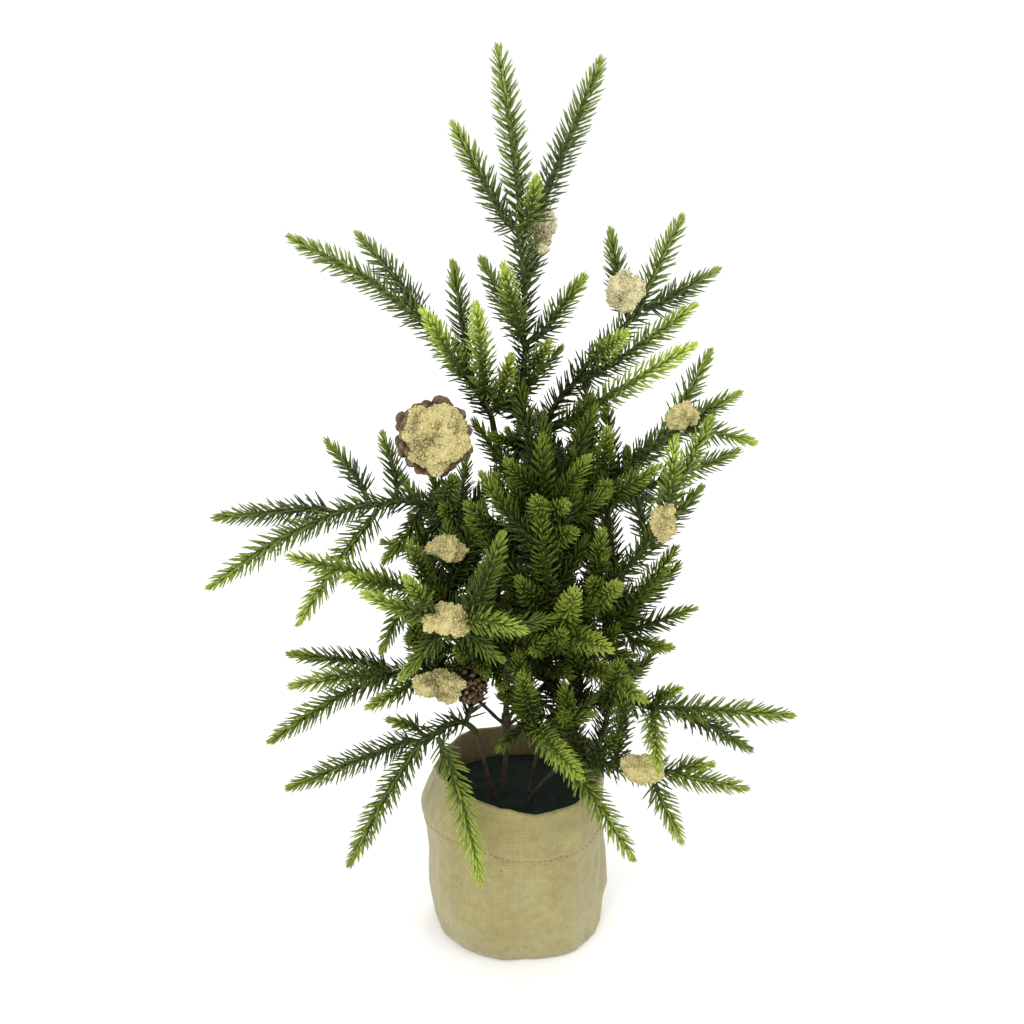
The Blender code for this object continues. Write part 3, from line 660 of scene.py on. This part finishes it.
def add_needles(shape, line, first, lime, chance):
    """Whorls of needles up a shoot, leaning further forward and shortening towards its tip."""
    along = length_along(line)
    length = along[-1]
    starts = np.arange(first, length, WHORL_STEP)
    rows = np.arange(NEEDLE_ROWS)
    azimuth = (rows[None, :] + 0.5 * (np.arange(len(starts)) % 2)[:, None]) * 2 * math.pi / NEEDLE_ROWS
    azimuth = np.concatenate([azimuth.ravel(), np.arange(TIP_NEEDLES) * GOLDEN])
    places = np.repeat(starts, NEEDLE_ROWS) + np.tile(rows % 2 * 0.5 * WHORL_STEP, len(starts))
    places = np.concatenate([places, np.linspace(length - TIP_LENGTH, length, TIP_NEEDLES)])
    count = len(places)
    places = np.clip(places + chance.normal(0, 0.25 * MM, count), 0, length)
    azimuth = azimuth + chance.normal(0, 0.09, count)
    share = places / length
    left = length - places
    tangents, normals, crossings = frames(line)

    def at(values):
        return np.stack([np.interp(places, along, values[:, axis]) for axis in range(3)], axis=1)

    middle, tangent, normal, crossing = at(line), at(tangents), at(normals), at(crossings)
    radial = normal * np.cos(azimuth)[:, None] + crossing * np.sin(azimuth)[:, None]
    lean = np.interp(left, (0, 6 * MM, 24 * MM, 60 * MM), (10, 34, 50, 60)) + chance.normal(0, 4, count)
    lean = np.radians(lean)
    reach = NEEDLE_LENGTH * np.interp(left, (0, 10 * MM, 30 * MM), (0.62, 0.78, 1.0))
    reach = reach * chance.uniform(0.88, 1.08, count)
    heading = tangent * np.cos(lean)[:, None] + radial * np.sin(lean)[:, None]
    side = np.cross(tangent, radial)
    side /= np.linalg.norm(side, axis=1)[:, None]
    flat = np.cross(heading, side)
    curl = (tangent - heading) * chance.uniform(0.02, 0.2, count)[:, None]
    slim = np.interp(left, (0, 5 * MM), (0.6, 1.0))[:, None]
    points = np.empty((count, NEEDLE_POINTS, 3))
    for ring, (part, width, _) in enumerate(NEEDLE_RINGS):
        here = middle + reach[:, None] * (part * heading + part * part * curl)
        for corner, (across, up) in enumerate(NEEDLE_CORNERS):
            offset = side * across * NEEDLE_HALF_WIDTH + flat * up * NEEDLE_HALF_THICKNESS
            points[:, 4 * ring + corner] = here + offset * width * slim
    points[:, -1] = middle + reach[:, None] * (heading + curl)
    rise = np.interp(share, (0.0, 0.45, 1.0), (0.0, 0.22, 0.62))
    tone = 0.1 + 0.5 * lime + rise * (0.75 + 0.25 * lime) + chance.normal(0, 0.055, count)
    # needle colours carry painted light and shade, and a pale painted veil, from daylight()
    light, painted_haze = daylight(middle)
    colours = np.empty((count, NEEDLE_POINTS, 3))
    for ring, (_, _, paler) in enumerate(NEEDLE_RINGS):
        colours[:, 4 * ring : 4 * ring + 4] = (tone_colour(tone + paler) * light + painted_haze)[:, None]
    colours[:, -1] = tone_colour(tone + NEEDLE_TIP_PALER) * light + painted_haze
    shape.add_copies(points, NEEDLE_PATTERN, colours)


def shoot_lime(line, stem_depth):
    """More lime for the sprigs whose tips reach in front of their own branch, and for those nearer the
    front of the tree.
    """
    tip = line[-1]
    ahead = (stem_depth - tip[1]) / (45 * MM)
    outer = -tip[1] / (160 * MM)
    return float(np.clip(0.62 * ahead + 0.35 * outer, 0.0, 1.0))


def inner_sprigs(stem, chance):
    """Short side sprigs along a branch, kept where they fill the heart of the tree."""
    along = length_along(stem)
    tangents, normals, crossings = frames(stem)
    sprigs = []
    for number in range(INNER_SPRIGS):
        place = int(np.searchsorted(along, along[-1] * (0.02 + 0.78 * number / INNER_SPRIGS)))
        angle = number * GOLDEN + chance.uniform(-0.3, 0.3)
        outward = normals[place] * math.cos(angle) + crossings[place] * math.sin(angle)
        lean = math.radians(chance.uniform(36, 80) + 40 * max(0.0, 1 - number / 6))
        heading = tangents[place] * math.cos(lean) + outward * math.sin(lean)
        length = INNER_LENGTH * chance.uniform(0.75, 1.3)
        part = np.linspace(0, 1, INNER_POINTS)[:, None]
        rise = np.array((0, 0, 0.3 * length)) * part**2
        sprig = stem[place] + heading * length * part + rise
        tip = sprig[-1]
        width = np.interp(tip[2], HEART_HEIGHTS, HEART_WIDTHS, 0, 0)
        if math.hypot(tip[0] - HEART_LEAN, 0.8 * tip[1]) < width:
            sprigs.append(resampled(sprig, LINE_STEP))
    return sprigs


def shoot_radii(along):
    return np.interp(along[-1] - along, (0, SHOOT_TAPER), (SHOOT_TIP_RADIUS, SHOOT_RADIUS))


def build_foliage(node, body, root, seed):
    """A moulded spray: its stem and sprigs, covered in needles."""
    chance = np.random.default_rng(seed)
    lines = centre_lines(node, root)
    outer = len(lines)
    if body != "leader":
        lines += inner_sprigs(lines[0], chance)
    shape = Shape()
    stem_depth = float(np.mean(lines[0][:, 1]))
    for number, line in enumerate(lines):
        line = line[:-TRIMMED]
        # inner sprigs are painted with less lime, as shade in the heart
        lime = shoot_lime(line, stem_depth) * (1.0 if number < outer else INNER_LIME_IN_PAINTED_SHADE)
        first = FIRST_WHORL
        if number == 0 and body == "leader":
            onward = line[2] - line[0]
            sleeve = line[0] - onward / np.linalg.norm(onward) * LEADER_SLEEVE
            line = resampled(np.vstack([sleeve, line]), LINE_STEP)
        along = length_along(line)
        radii = shoot_radii(along)
        if number == 0:
            first = BARE_STEM
            bare = np.interp(along, (0, BARE_STEM, SHOOT_TAPER), (STEM_RADIUS, BARE_STEM_RADIUS, 0))
            radii = np.maximum(radii, bare)
            lime *= STEM_LIME
        points, faces = tube(line, radii)
        tone = np.repeat(np.interp(along / along[-1], (0, 0.6, 1), (0.08, 0.2, 0.5)) + 0.2 * lime, 8)
        # the stem's colour carries painted light and shade, and a pale painted veil, from daylight()
        light, painted_haze = daylight(np.array(points))
        shape.add(points, faces, tone_colour(tone) * light + painted_haze)
        add_needles(shape, line, first, lime, chance)
    return shape.piece("foliage_" + node.removeprefix("spray_"), NEEDLES, body, "needle_green", [node])


def joint_place(body):
    return next(joint["pos_m"] for joint in frame["joints"] if joint["child"] == body)


def body_of(node):
    return frame["nodes"][node]["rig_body"]


def build_branches():
    for seed, node in enumerate(sorted(n for n in frame["nodes"] if n.startswith("spray_"))):
        build_foliage(node, body_of(node), joint_place(body_of(node)), seed)


# Wires, rod and tape


def tucked(line, rod_line):
    """The line with its start led in to the tape on the rod, or down into the foam."""
    start = line[0]
    if start[2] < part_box("foam_disc")[1].z + 10 * MM:
        return resampled(np.vstack([start - (0, 0, 4 * MM), line]), LINE_STEP)
    rod = np.array([np.interp(start[2] - 5 * MM, rod_line[:, 2], rod_line[:, i]) for i in range(3)])
    beside = rod + (start - rod) * (0.55, 0.55, 0.45)
    return resampled(smoothed(np.vstack([rod, beside, line]), 2), LINE_STEP)


def build_wire(name, node, start, radius, sides=12, rod_line=None):
    """A wire in its plastic sleeve, a little uneven along its length."""
    line = centre_lines(node, start)[0]
    if rod_line is not None:
        line = tucked(line, rod_line)
    along = length_along(line)
    radii = radius * (1 + 0.07 * np.sin(along / (1.7 * MM)) + 0.04 * np.sin(along / (4.3 * MM)))
    points, faces = tube(line, radii, sides)
    return new_piece(name, points, faces, WIRE, body_of(node), [node])


def build_tape(node, rod_line):
    """Turns of tape wound round the rod and the wires tied to it."""
    low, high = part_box(node)
    radius = min(high.x - low.x, high.y - low.y) / 2
    heights = rod_line[:, 2]
    places = np.arange(low.z, high.z, TAPE_STEP)
    line = np.stack([np.interp(places, heights, rod_line[:, axis]) for axis in range(3)], axis=1)
    turn = (places - low.z) / TAPE_WIDTH
    ends = np.minimum(1.0, np.minimum(places - low.z, high.z - places) / (2 * MM) * 0.3 + 0.8)
    radii = radius * ends * (0.93 + 0.09 * (turn % 1.0))
    points, faces = tube(line, radii, TAPE_SIDES)
    new_piece("florist_" + node, points, faces, TAPE, body_of(node), [node])


def build_woodwork():
    low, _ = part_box("trunk_rod")
    rod = build_wire("trunk", "trunk_rod", (low.x, 0, low.z), ROD_RADIUS, ROD_SIDES)
    rod_line = np.array([v.co for v in rod.data.vertices]).reshape(-1, ROD_SIDES, 3).mean(axis=1)
    for node in sorted(frame["nodes"]):
        if node.startswith("wire_"):
            start = joint_place(body_of(node))
            build_wire("branch_" + node, node, start, BRANCH_WIRE_RADIUS, rod_line=rod_line)
        elif node.startswith("cone_pick"):
            build_wire("pick_wire", node, joint_place(body_of(node)), PICK_WIRE_RADIUS)
        elif node.startswith("tape_wrap"):
            build_tape(node, rod_line)


# Snow


def ball_template(subdivisions):
    """The points and faces of a small faceted ball."""
    ball = bmesh.new()
    bmesh.ops.create_icosphere(ball, subdivisions=subdivisions, radius=1.0)
    points = np.array([v.co[:] for v in ball.verts])
    faces = [tuple(v.index for v in f.verts) for f in ball.faces]
    ball.free()
    return points, faces


BALL_POINTS, BALL_FACES = ball_template(1)
LUMP_POINTS, LUMP_FACES = ball_template(5)


def spots_on(points, faces, pitch, chance):
    """Evenly scattered places on a closed surface of triangles, and the way out at each."""
    corners = points[faces]
    outward = np.cross(corners[:, 1] - corners[:, 0], corners[:, 2] - corners[:, 0])
    areas = np.linalg.norm(outward, axis=1)
    count = int(areas.sum() / 2 / pitch**2)
    picked = chance.choice(len(areas), count, p=areas / areas.sum())
    weights = chance.dirichlet((1, 1, 1), count)
    return (corners[picked] * weights[:, :, None]).sum(axis=1), outward[picked] / areas[picked][:, None]


def uneven(point, seed):
    """How far set foam stands out at a point: broad lobes, knots and crumbs."""
    shifted = point + Vector((seed * 3.1, seed * 1.7, 0)) * 0.1
    lobes = 7.0 * noise.noise(shifted * 88)
    knots = 3.0 * noise.noise(shifted * 240)
    crumbs = 1.0 * noise.noise(shifted * 620)
    return min(lobes + knots + crumbs, 2.6) * MM


def build_snow(node, seed):
    """Foam set in a lobed clump over the solid's place, with granules stuck all over it. Its hollows
    are painted darker as shade, and clumps higher up are painted paler and bluer as light.
    """
    chance = np.random.default_rng(100 + seed)
    solid_points, solid = solid_surface(node)
    low, high = (Vector(map(pick, zip(*solid_points))) for pick in (min, max))
    middle = (low + high) / 2
    smallest = min(high - low) / 2
    lump = []
    for direction in LUMP_POINTS:
        outward = Vector(direction)
        hit = solid.ray_cast(middle + outward * 0.1, -outward)[0]
        reach = (hit - middle).length if hit else smallest
        place = middle + outward * reach
        lump.append(place + outward * max(uneven(place, seed), 0.35 * smallest - reach))
    lump = np.array(lump)
    shape = Shape()
    # painted shade: the lump is painted darker where it sinks into hollows
    depth = np.array([uneven(Vector(p), seed) for p in lump])
    share = np.clip(0.75 + depth / (4 * MM), 0, 1)[:, None]
    # painted light: clumps higher up are painted paler and bluer
    high_up = float(np.clip((middle.z - SNOW_PAINTED_LIGHT_FROM) / 0.06, 0, 1))
    snow = np.array(SNOW_COLOUR) + high_up * np.array(SNOW_PAINTED_LIGHT)
    shape.add(lump, LUMP_FACES, np.array(SNOW_PAINTED_SHADE) * (1 - share) + snow * share)
    places, outward = spots_on(lump, np.array(LUMP_FACES), GRANULE_PITCH, chance)
    count = len(places)
    places = places + outward * chance.normal(-0.1, 0.4, count)[:, None] * MM
    sizes = GRANULE * chance.uniform(0.6, 1.2, (count, 1, 1))
    jitter = chance.uniform(0.75, 1.2, (count, len(BALL_POINTS), 1))
    points = places[:, None] + BALL_POINTS * sizes * jitter
    # painted shade and light: granules in the hollows are painted darker, those standing out a little
    # lighter
    sunk = np.array([uneven(Vector(p), seed) for p in places]) / (4 * MM)
    light = chance.uniform(0.88, 1.06, (count, 1, 1))
    light = light * np.clip(1 + 0.3 * sunk, 0.45, 1.08)[:, None, None]
    shape.add_copies(points, BALL_FACES, light * snow * np.ones((1, len(BALL_POINTS), 1)))
    return shape.piece("granular_" + node, SNOW, body_of(node), "snow", [node])


# Pine cones

# The rows of points of one scale: the place along it, its width and its thickness there.
SCALE_ROWS = (
    (0.0, 0.45, 0.3),
    (0.45, 0.8, 0.45),
    (0.78, 1.0, 0.9),
    (0.94, 0.78, 1.0),
    (1.0, 0.36, 0.6),
)


def scale_faces():
    """The faces of one scale."""
    faces = [tuple(range(SCALE_SIDES))]
    for row in range(len(SCALE_ROWS) - 1):
        start = SCALE_SIDES * row
        for step in range(SCALE_SIDES):
            low, beside = start + step, start + (step + 1) % SCALE_SIDES
            faces.append((low + SCALE_SIDES, beside + SCALE_SIDES, beside, low))
    last = SCALE_SIDES * (len(SCALE_ROWS) - 1)
    faces.append(tuple(last + step for step in reversed(range(SCALE_SIDES))))
    return faces


SCALE_FACES = scale_faces()


def cone_axis(node):
    """The two ends of a turned cone, the stalk end first, found as the points most faces meet at."""
    mesh = frame["nodes"][node].data
    places = defaultdict(int)
    for face in mesh.polygons:
        for i in face.vertices:
            places[tuple(round(c / WELD) for c in mesh.vertices[i].co)] += 1
    ends = sorted(places, key=lambda key: (-places[key], key))[:2]
    ends = [np.array(end) * WELD for end in ends]
    points = np.array([v.co[:] for v in mesh.vertices])
    axis = ends[1] - ends[0]
    share = (points - ends[0]) @ axis / (axis @ axis)
    away = np.linalg.norm(points - ends[0] - share[:, None] * axis, axis=1)
    near_first = away[(share > 0.02) & (share < 0.3)].max()
    near_second = away[(share > 0.7) & (share < 0.98)].max()
    return (ends, away.max()) if near_first > near_second else (ends[::-1], away.max())


def build_cone(node, seed):
    """Woody scales in the spiral of a real cone, thick and pale at their rounded lips."""
    chance = np.random.default_rng(200 + seed)
    (stalk, tip), radius = cone_axis(node)
    axis = tip - stalk
    length = np.linalg.norm(axis)
    axis = axis / length
    across = np.cross(axis, (0.2, 0.9, 0.3))
    across /= np.linalg.norm(across)
    other = np.cross(axis, across)
    shape = Shape()
    line = np.linspace(stalk + axis * 0.03 * length, tip - axis * 0.08 * length, 14)
    share = np.linspace(0, 1, 14)
    points, faces = tube(line, 0.55 * radius * np.sin(math.pi * (0.08 + 0.86 * share)) ** 0.7, 12)
    shape.add(points, faces, CORE_COLOUR)
    for number in range(SCALES):
        part = (number + 0.5) / SCALES
        angle = number * GOLDEN + chance.normal(0, 0.06)
        outward = across * math.cos(angle) + other * math.sin(angle)
        side = np.cross(axis, outward)
        size = radius * math.sin(math.pi * (0.13 + 0.80 * part)) ** 0.6
        up = math.radians(4 + 66 * part**1.5 + chance.normal(0, 7))
        heading = outward * math.cos(up) + axis * math.sin(up)
        above = axis * math.cos(up) - outward * math.sin(up)
        foot = stalk + axis * length * (0.05 + 0.80 * part) + outward * 0.25 * size
        reach = 0.86 * size * chance.uniform(0.9, 1.12)
        width = 0.21 * size * (1 - 0.35 * part) * chance.uniform(0.85, 1.15)
        points = []
        colours = []
        warmth = chance.uniform(0.6, 1.3)
        for along, wide, thick in SCALE_ROWS:
            for step in range(SCALE_SIDES):
                turn = 2 * math.pi * step / SCALE_SIDES
                rise = math.sin(turn) * 0.11 * size * thick + 0.10 * size * along**2
                offset = side * math.cos(turn) * width * wide + above * rise
                points.append(foot + heading * reach * along + offset)
                pale = max(0.0, (along - 0.55) / 0.45)
                colours.append(warmth * (SCALE_DARK * (1 - pale) + SCALE_PALE * pale))
        shape.add(points, SCALE_FACES, np.array(colours))
    return shape.piece("scaled_" + node, CONE, body_of(node), "cone_brown", [node])


# Bag


def hump(height, middle, width):
    """A smooth hump over the heights near its middle, where it is 1."""
    return math.exp(-(((height - middle) / width) ** 2))


class BagForm:
    """The CAD bag's outside and rim, with the folds and slack that cloth has."""

    def __init__(self):
        _, self.tree = solid_surface("fabric_bag")
        self.azimuths = [2 * math.pi * step / RIM_READINGS - math.pi for step in range(RIM_READINGS)]
        self.heights = [self.top_at(azimuth) for azimuth in self.azimuths]

    def top_at(self, azimuth):
        """The CAD rim's height, from rays cast down across its wall."""
        hits = []
        for radius in np.arange(45 * MM, 75 * MM, 0.2 * MM):
            above = Vector((radius * math.cos(azimuth), radius * math.sin(azimuth), 200 * MM))
            hits.append(self.tree.ray_cast(above, Vector((0, 0, -1)))[0])
        return max(hit.z for hit in hits if hit)

    def rim(self, azimuth):
        return float(np.interp(azimuth, self.azimuths, self.heights, period=2 * math.pi))

    def cad_radius(self, azimuth, height):
        heading = Vector((math.cos(azimuth), math.sin(azimuth), 0))
        height = min(max(height, 1.0 * MM), self.rim(azimuth) - 1.5 * MM)
        hit = self.tree.ray_cast(heading * 0.2 + Vector((0, 0, height)), -heading)[0]
        return math.hypot(hit.x, hit.y)

    def slack(self, azimuth, height):
        """How far the cloth stands in or out of the CAD surface."""
        spot = Vector((math.cos(azimuth), math.sin(azimuth), height * 9))
        folds = 3.0 * MM * noise.noise(spot * 1.9)
        upright = Vector((spot.x * 4.5, spot.y * 4.5, height * 14))
        folds += 1.6 * MM * noise.noise(upright + Vector((7, 2, 1)))
        folds += 0.35 * MM * noise.noise(spot * 9 + Vector((3, 5, 8)))
        crease = hump(height, 15 * MM, 9 * MM)
        folds += 1.1 * MM * crease * noise.noise(Vector((spot.x * 3.2, spot.y * 3.2, height * 60)))
        left = max(0.0, -math.cos(azimuth)) ** 3
        folds += 3.4 * MM * left * hump(height, 92 * MM, 17 * MM)
        right = max(0.0, math.cos(azimuth + 0.45)) ** 2
        folds += 1.2 * MM * right * hump(height, 16 * MM, 16 * MM)
        return folds

    def hem(self, azimuth, height):
        """The doubled cloth of the hem, drawn in where it is stitched."""
        stitch_line = self.rim(azimuth) - CUFF_DEPTH
        pucker = 0.22 * MM * math.sin(azimuth * 62) * hump(height, stitch_line, 4 * MM)
        groove = -0.55 * MM * hump(height, stitch_line, 1.5 * MM)
        doubled = 0.35 * MM / (1 + math.exp(-(height - stitch_line) / (1.2 * MM)))
        return pucker + groove + doubled

    def radius(self, azimuth, height):
        """The CAD radius with the slack and the hem, leaning in at the left over the pot's rim."""
        settled = min(1.0, 0.45 + height / (10 * MM))
        over_pot = max(0.0, height / self.rim(azimuth) - 0.76) / 0.24
        lean = -9.0 * MM * max(0.0, -math.cos(azimuth)) ** 3 * over_pot**1.5
        moved = (self.slack(azimuth, height) + self.hem(azimuth, height)) * settled
        corner = 3.6 * MM * max(0.0, math.cos(azimuth + 0.3)) ** 2 * hump(height, 0.0, 9 * MM)
        return self.cad_radius(azimuth, height) + moved + lean + corner


def cylindrical(azimuth, radius, height):
    return (radius * math.cos(azimuth), radius * math.sin(azimuth), height)


def bag_rows(form, azimuth):
    """(radius, height, share of painted inner shade) down one line of the bag: up the outside, over the
    rim, down inside.
    """
    rim = form.rim(azimuth) + 0.5 * MM * noise.noise(Vector((azimuth * 7, 0, 0)))
    under = 3.2 * MM * max(0.0, math.cos(azimuth + 1.9)) ** 2
    rows = []
    heights = [0.0, 0.25 * MM, 0.9 * MM, 1.8 * MM, 3 * MM]
    heights += list(np.linspace(4.5 * MM, rim - ROLL_DEPTH, 62))
    for height in heights:
        tuck = 1.6 * MM * max(0.0, 1 - height / (1.6 * MM)) ** 2
        tuck += under * max(0.0, 1 - height / (9 * MM)) ** 2
        rows.append((form.radius(azimuth, height) - tuck, height, 0.0))
    top = rows[-1][0]
    for step in range(1, 8):
        turn = math.pi * step / 8
        height = rim - ROLL_DEPTH + 1.6 * RIM_ROLL * math.sin(turn)
        rows.append((top - RIM_ROLL * (1 - math.cos(turn)), height, step / 8))
    for height in np.linspace(rim - 3.2 * MM, 2.2 * MM, 40):
        thickness = 2 * CLOTH if height > form.rim(azimuth) - CUFF_DEPTH else 1.5 * CLOTH
        rows.append((form.radius(azimuth, height) - thickness - 0.3 * MM, height, 1.0))
    rows.append((rows[0][0] - 2.4 * MM, 0.6 * MM, 1.0))
    return rows


def build_bag(form):
    """The bag's double wall in one sheet, with a map of it laid flat for the weave."""
    points = []
    inside = []
    weave = []
    for column in range(BAG_COLUMNS):
        azimuth = 2 * math.pi * column / BAG_COLUMNS - math.pi
        travelled = 0.0
        last = None
        for radius, height, inner_shade_share in bag_rows(form, azimuth):
            if last:
                travelled += math.hypot(radius - last[0], height - last[1])
            last = (radius, height)
            points.append(cylindrical(azimuth, radius, height))
            inside.append(inner_shade_share)
            weave.append(travelled)
    each = len(points) // BAG_COLUMNS
    faces = []
    for column in range(BAG_COLUMNS):
        start, beside = column * each, (column + 1) % BAG_COLUMNS * each
        for row in range(each):
            above = (row + 1) % each
            faces.append((start + row, beside + row, beside + above, start + above))
    bag = new_piece("linen_bag", points, faces, LINEN, "base", ["fabric_bag"])
    # painted shade: this marks the inner wall for its material to paint darker and browner
    mark(bag, "Inside", inside)
    layer = bag.data.uv_layers.new(name="Weave")
    for face in bag.data.polygons:
        column = face.index // each
        for loop in face.loop_indices:
            vertex = bag.data.loops[loop].vertex_index
            turn = vertex // each
            if column == BAG_COLUMNS - 1 and turn == 0:
                turn = BAG_COLUMNS
            layer.data[loop].uv = (BAG_RADIUS * 2 * math.pi * turn / BAG_COLUMNS, weave[vertex])


def build_stitches(form):
    """The line of stitches that holds the hem, one short bead of thread after another."""
    shape = Shape()
    azimuth = -math.pi
    while azimuth < math.pi:
        line = []
        for part in np.linspace(0, 1, 7):
            here = azimuth + part * STITCH / BAG_RADIUS
            height = form.rim(here) - CUFF_DEPTH
            radius = form.radius(here, height) + (0.32 * math.sin(math.pi * part) - 0.1) * MM
            line.append(cylindrical(here, radius, height))
        radii = THREAD_RADIUS * np.sin(math.pi * np.linspace(0.12, 0.88, 7)) ** 0.5
        points, faces = tube(np.array(line), radii, 6)
        shape.add(points, faces, (0.3, 0.24, 0.12))
        azimuth += (STITCH + STITCH_GAP) / BAG_RADIUS
    shape.piece("hem_stitches", THREAD, "base", "thread", ["hem_thread"])


# Foam


def build_foam():
    """The disc of foam in the pot's mouth: a rough cut face with a worn edge."""
    low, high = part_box("foam_disc")
    radius = (high.x - low.x) / 2
    columns = 120
    profile = [(radius * ring / 30, high.z) for ring in range(1, 30)]
    profile += [(radius - 0.6 * MM, high.z - 0.2 * MM), (radius - 0.1 * MM, high.z - 1.0 * MM)]
    profile += [(radius, high.z - 4 * MM), (radius, low.z)]
    points = [(0, 0, high.z - 0.3 * MM)]
    for away, height in profile:
        for column in range(columns):
            azimuth = 2 * math.pi * column / columns
            x, y = away * math.cos(azimuth), away * math.sin(azimuth)
            rough = 0.7 * MM * noise.noise(Vector((x, y, height)) * 130)
            rough += 0.4 * MM * noise.noise(Vector((x, y, height)) * 520)
            points.append((x, y, min(height + rough, high.z + 0.5 * MM) if height > low.z else height))
    points.append((0, 0, low.z))
    rings = len(profile)
    faces = []
    for column in range(columns):
        beside = (column + 1) % columns
        faces.append((0, 1 + column, 1 + beside))
        for ring in range(rings - 1):
            inner, outer = 1 + ring * columns, 1 + (ring + 1) * columns
            faces.append((inner + column, outer + column, outer + beside, inner + beside))
        last = 1 + (rings - 1) * columns
        faces.append((last + beside, last + column, len(points) - 1))
    new_piece("foam_top", points, faces, FOAM, "base", ["foam_disc"])


# Carried-over solids


def dress(node, finish):
    """Gives a CAD node that keeps its shape a finished material."""
    for slot in frame["nodes"][node].material_slots:
        slot.material = finish


# Stage


def build_stage():
    """A pale floor, white daylight, three soft lamps and the camera."""
    scene = bpy.context.scene
    corners = [(x * FLOOR_SIZE, y * FLOOR_SIZE, 0) for x, y in ((-1, -1), (1, -1), (1, 1), (-1, 1))]
    mesh = bpy.data.meshes.new("floor")
    mesh.from_pydata(corners, [], [(0, 1, 2, 3)])
    floor = bpy.data.objects.new("floor", mesh)
    paper = bpy.data.materials.new("floor_paper")
    paper.use_nodes = True
    shader = paper.node_tree.nodes["Principled BSDF"]
    shader.inputs["Base Color"].default_value = (0.96, 0.96, 0.96, 1)
    shader.inputs["Roughness"].default_value = 1.0
    mesh.materials.append(paper)
    scene.collection.objects.link(floor)

    world = bpy.data.worlds.new("studio")
    world.use_nodes = True
    background = world.node_tree.nodes["Background"]
    background.inputs["Color"].default_value = (1, 1, 1, 1)
    background.inputs["Strength"].default_value = DAYLIGHT
    scene.world = world

    for name, place, side, power in LAMPS:
        lamp = bpy.data.lights.new(name, "AREA")
        lamp.size = side
        lamp.energy = power
        holder = bpy.data.objects.new(name, lamp)
        holder.location = place
        facing = Vector(LIT_PLACE) - Vector(place)
        holder.rotation_euler = facing.to_track_quat("-Z", "Y").to_euler()
        scene.collection.objects.link(holder)

    camera = bpy.data.cameras.new("camera")
    camera.lens = CAMERA_LENS
    holder = bpy.data.objects.new("camera", camera)
    holder.location = CAMERA_PLACE
    holder.rotation_euler = (math.radians(90 - CAMERA_PITCH), 0, 0)
    scene.collection.objects.link(holder)
    scene.camera = holder
    scene.view_settings.view_transform = "Standard"


build_branches()
build_woodwork()
for number, snow_node in enumerate(sorted(n for n in frame["nodes"] if n.startswith("snow_"))):
    build_snow(snow_node, number)
for number, cone_node in enumerate(sorted(n for n in frame["nodes"] if n.startswith("pine_cone"))):
    build_cone(cone_node, number)
bag_form = BagForm()
build_bag(bag_form)
build_stitches(bag_form)
build_foam()
dress("base_panel", PANEL_LINEN)
dress("liner_pot", POT)
dress("weight_block", PLASTER)
build_stage()
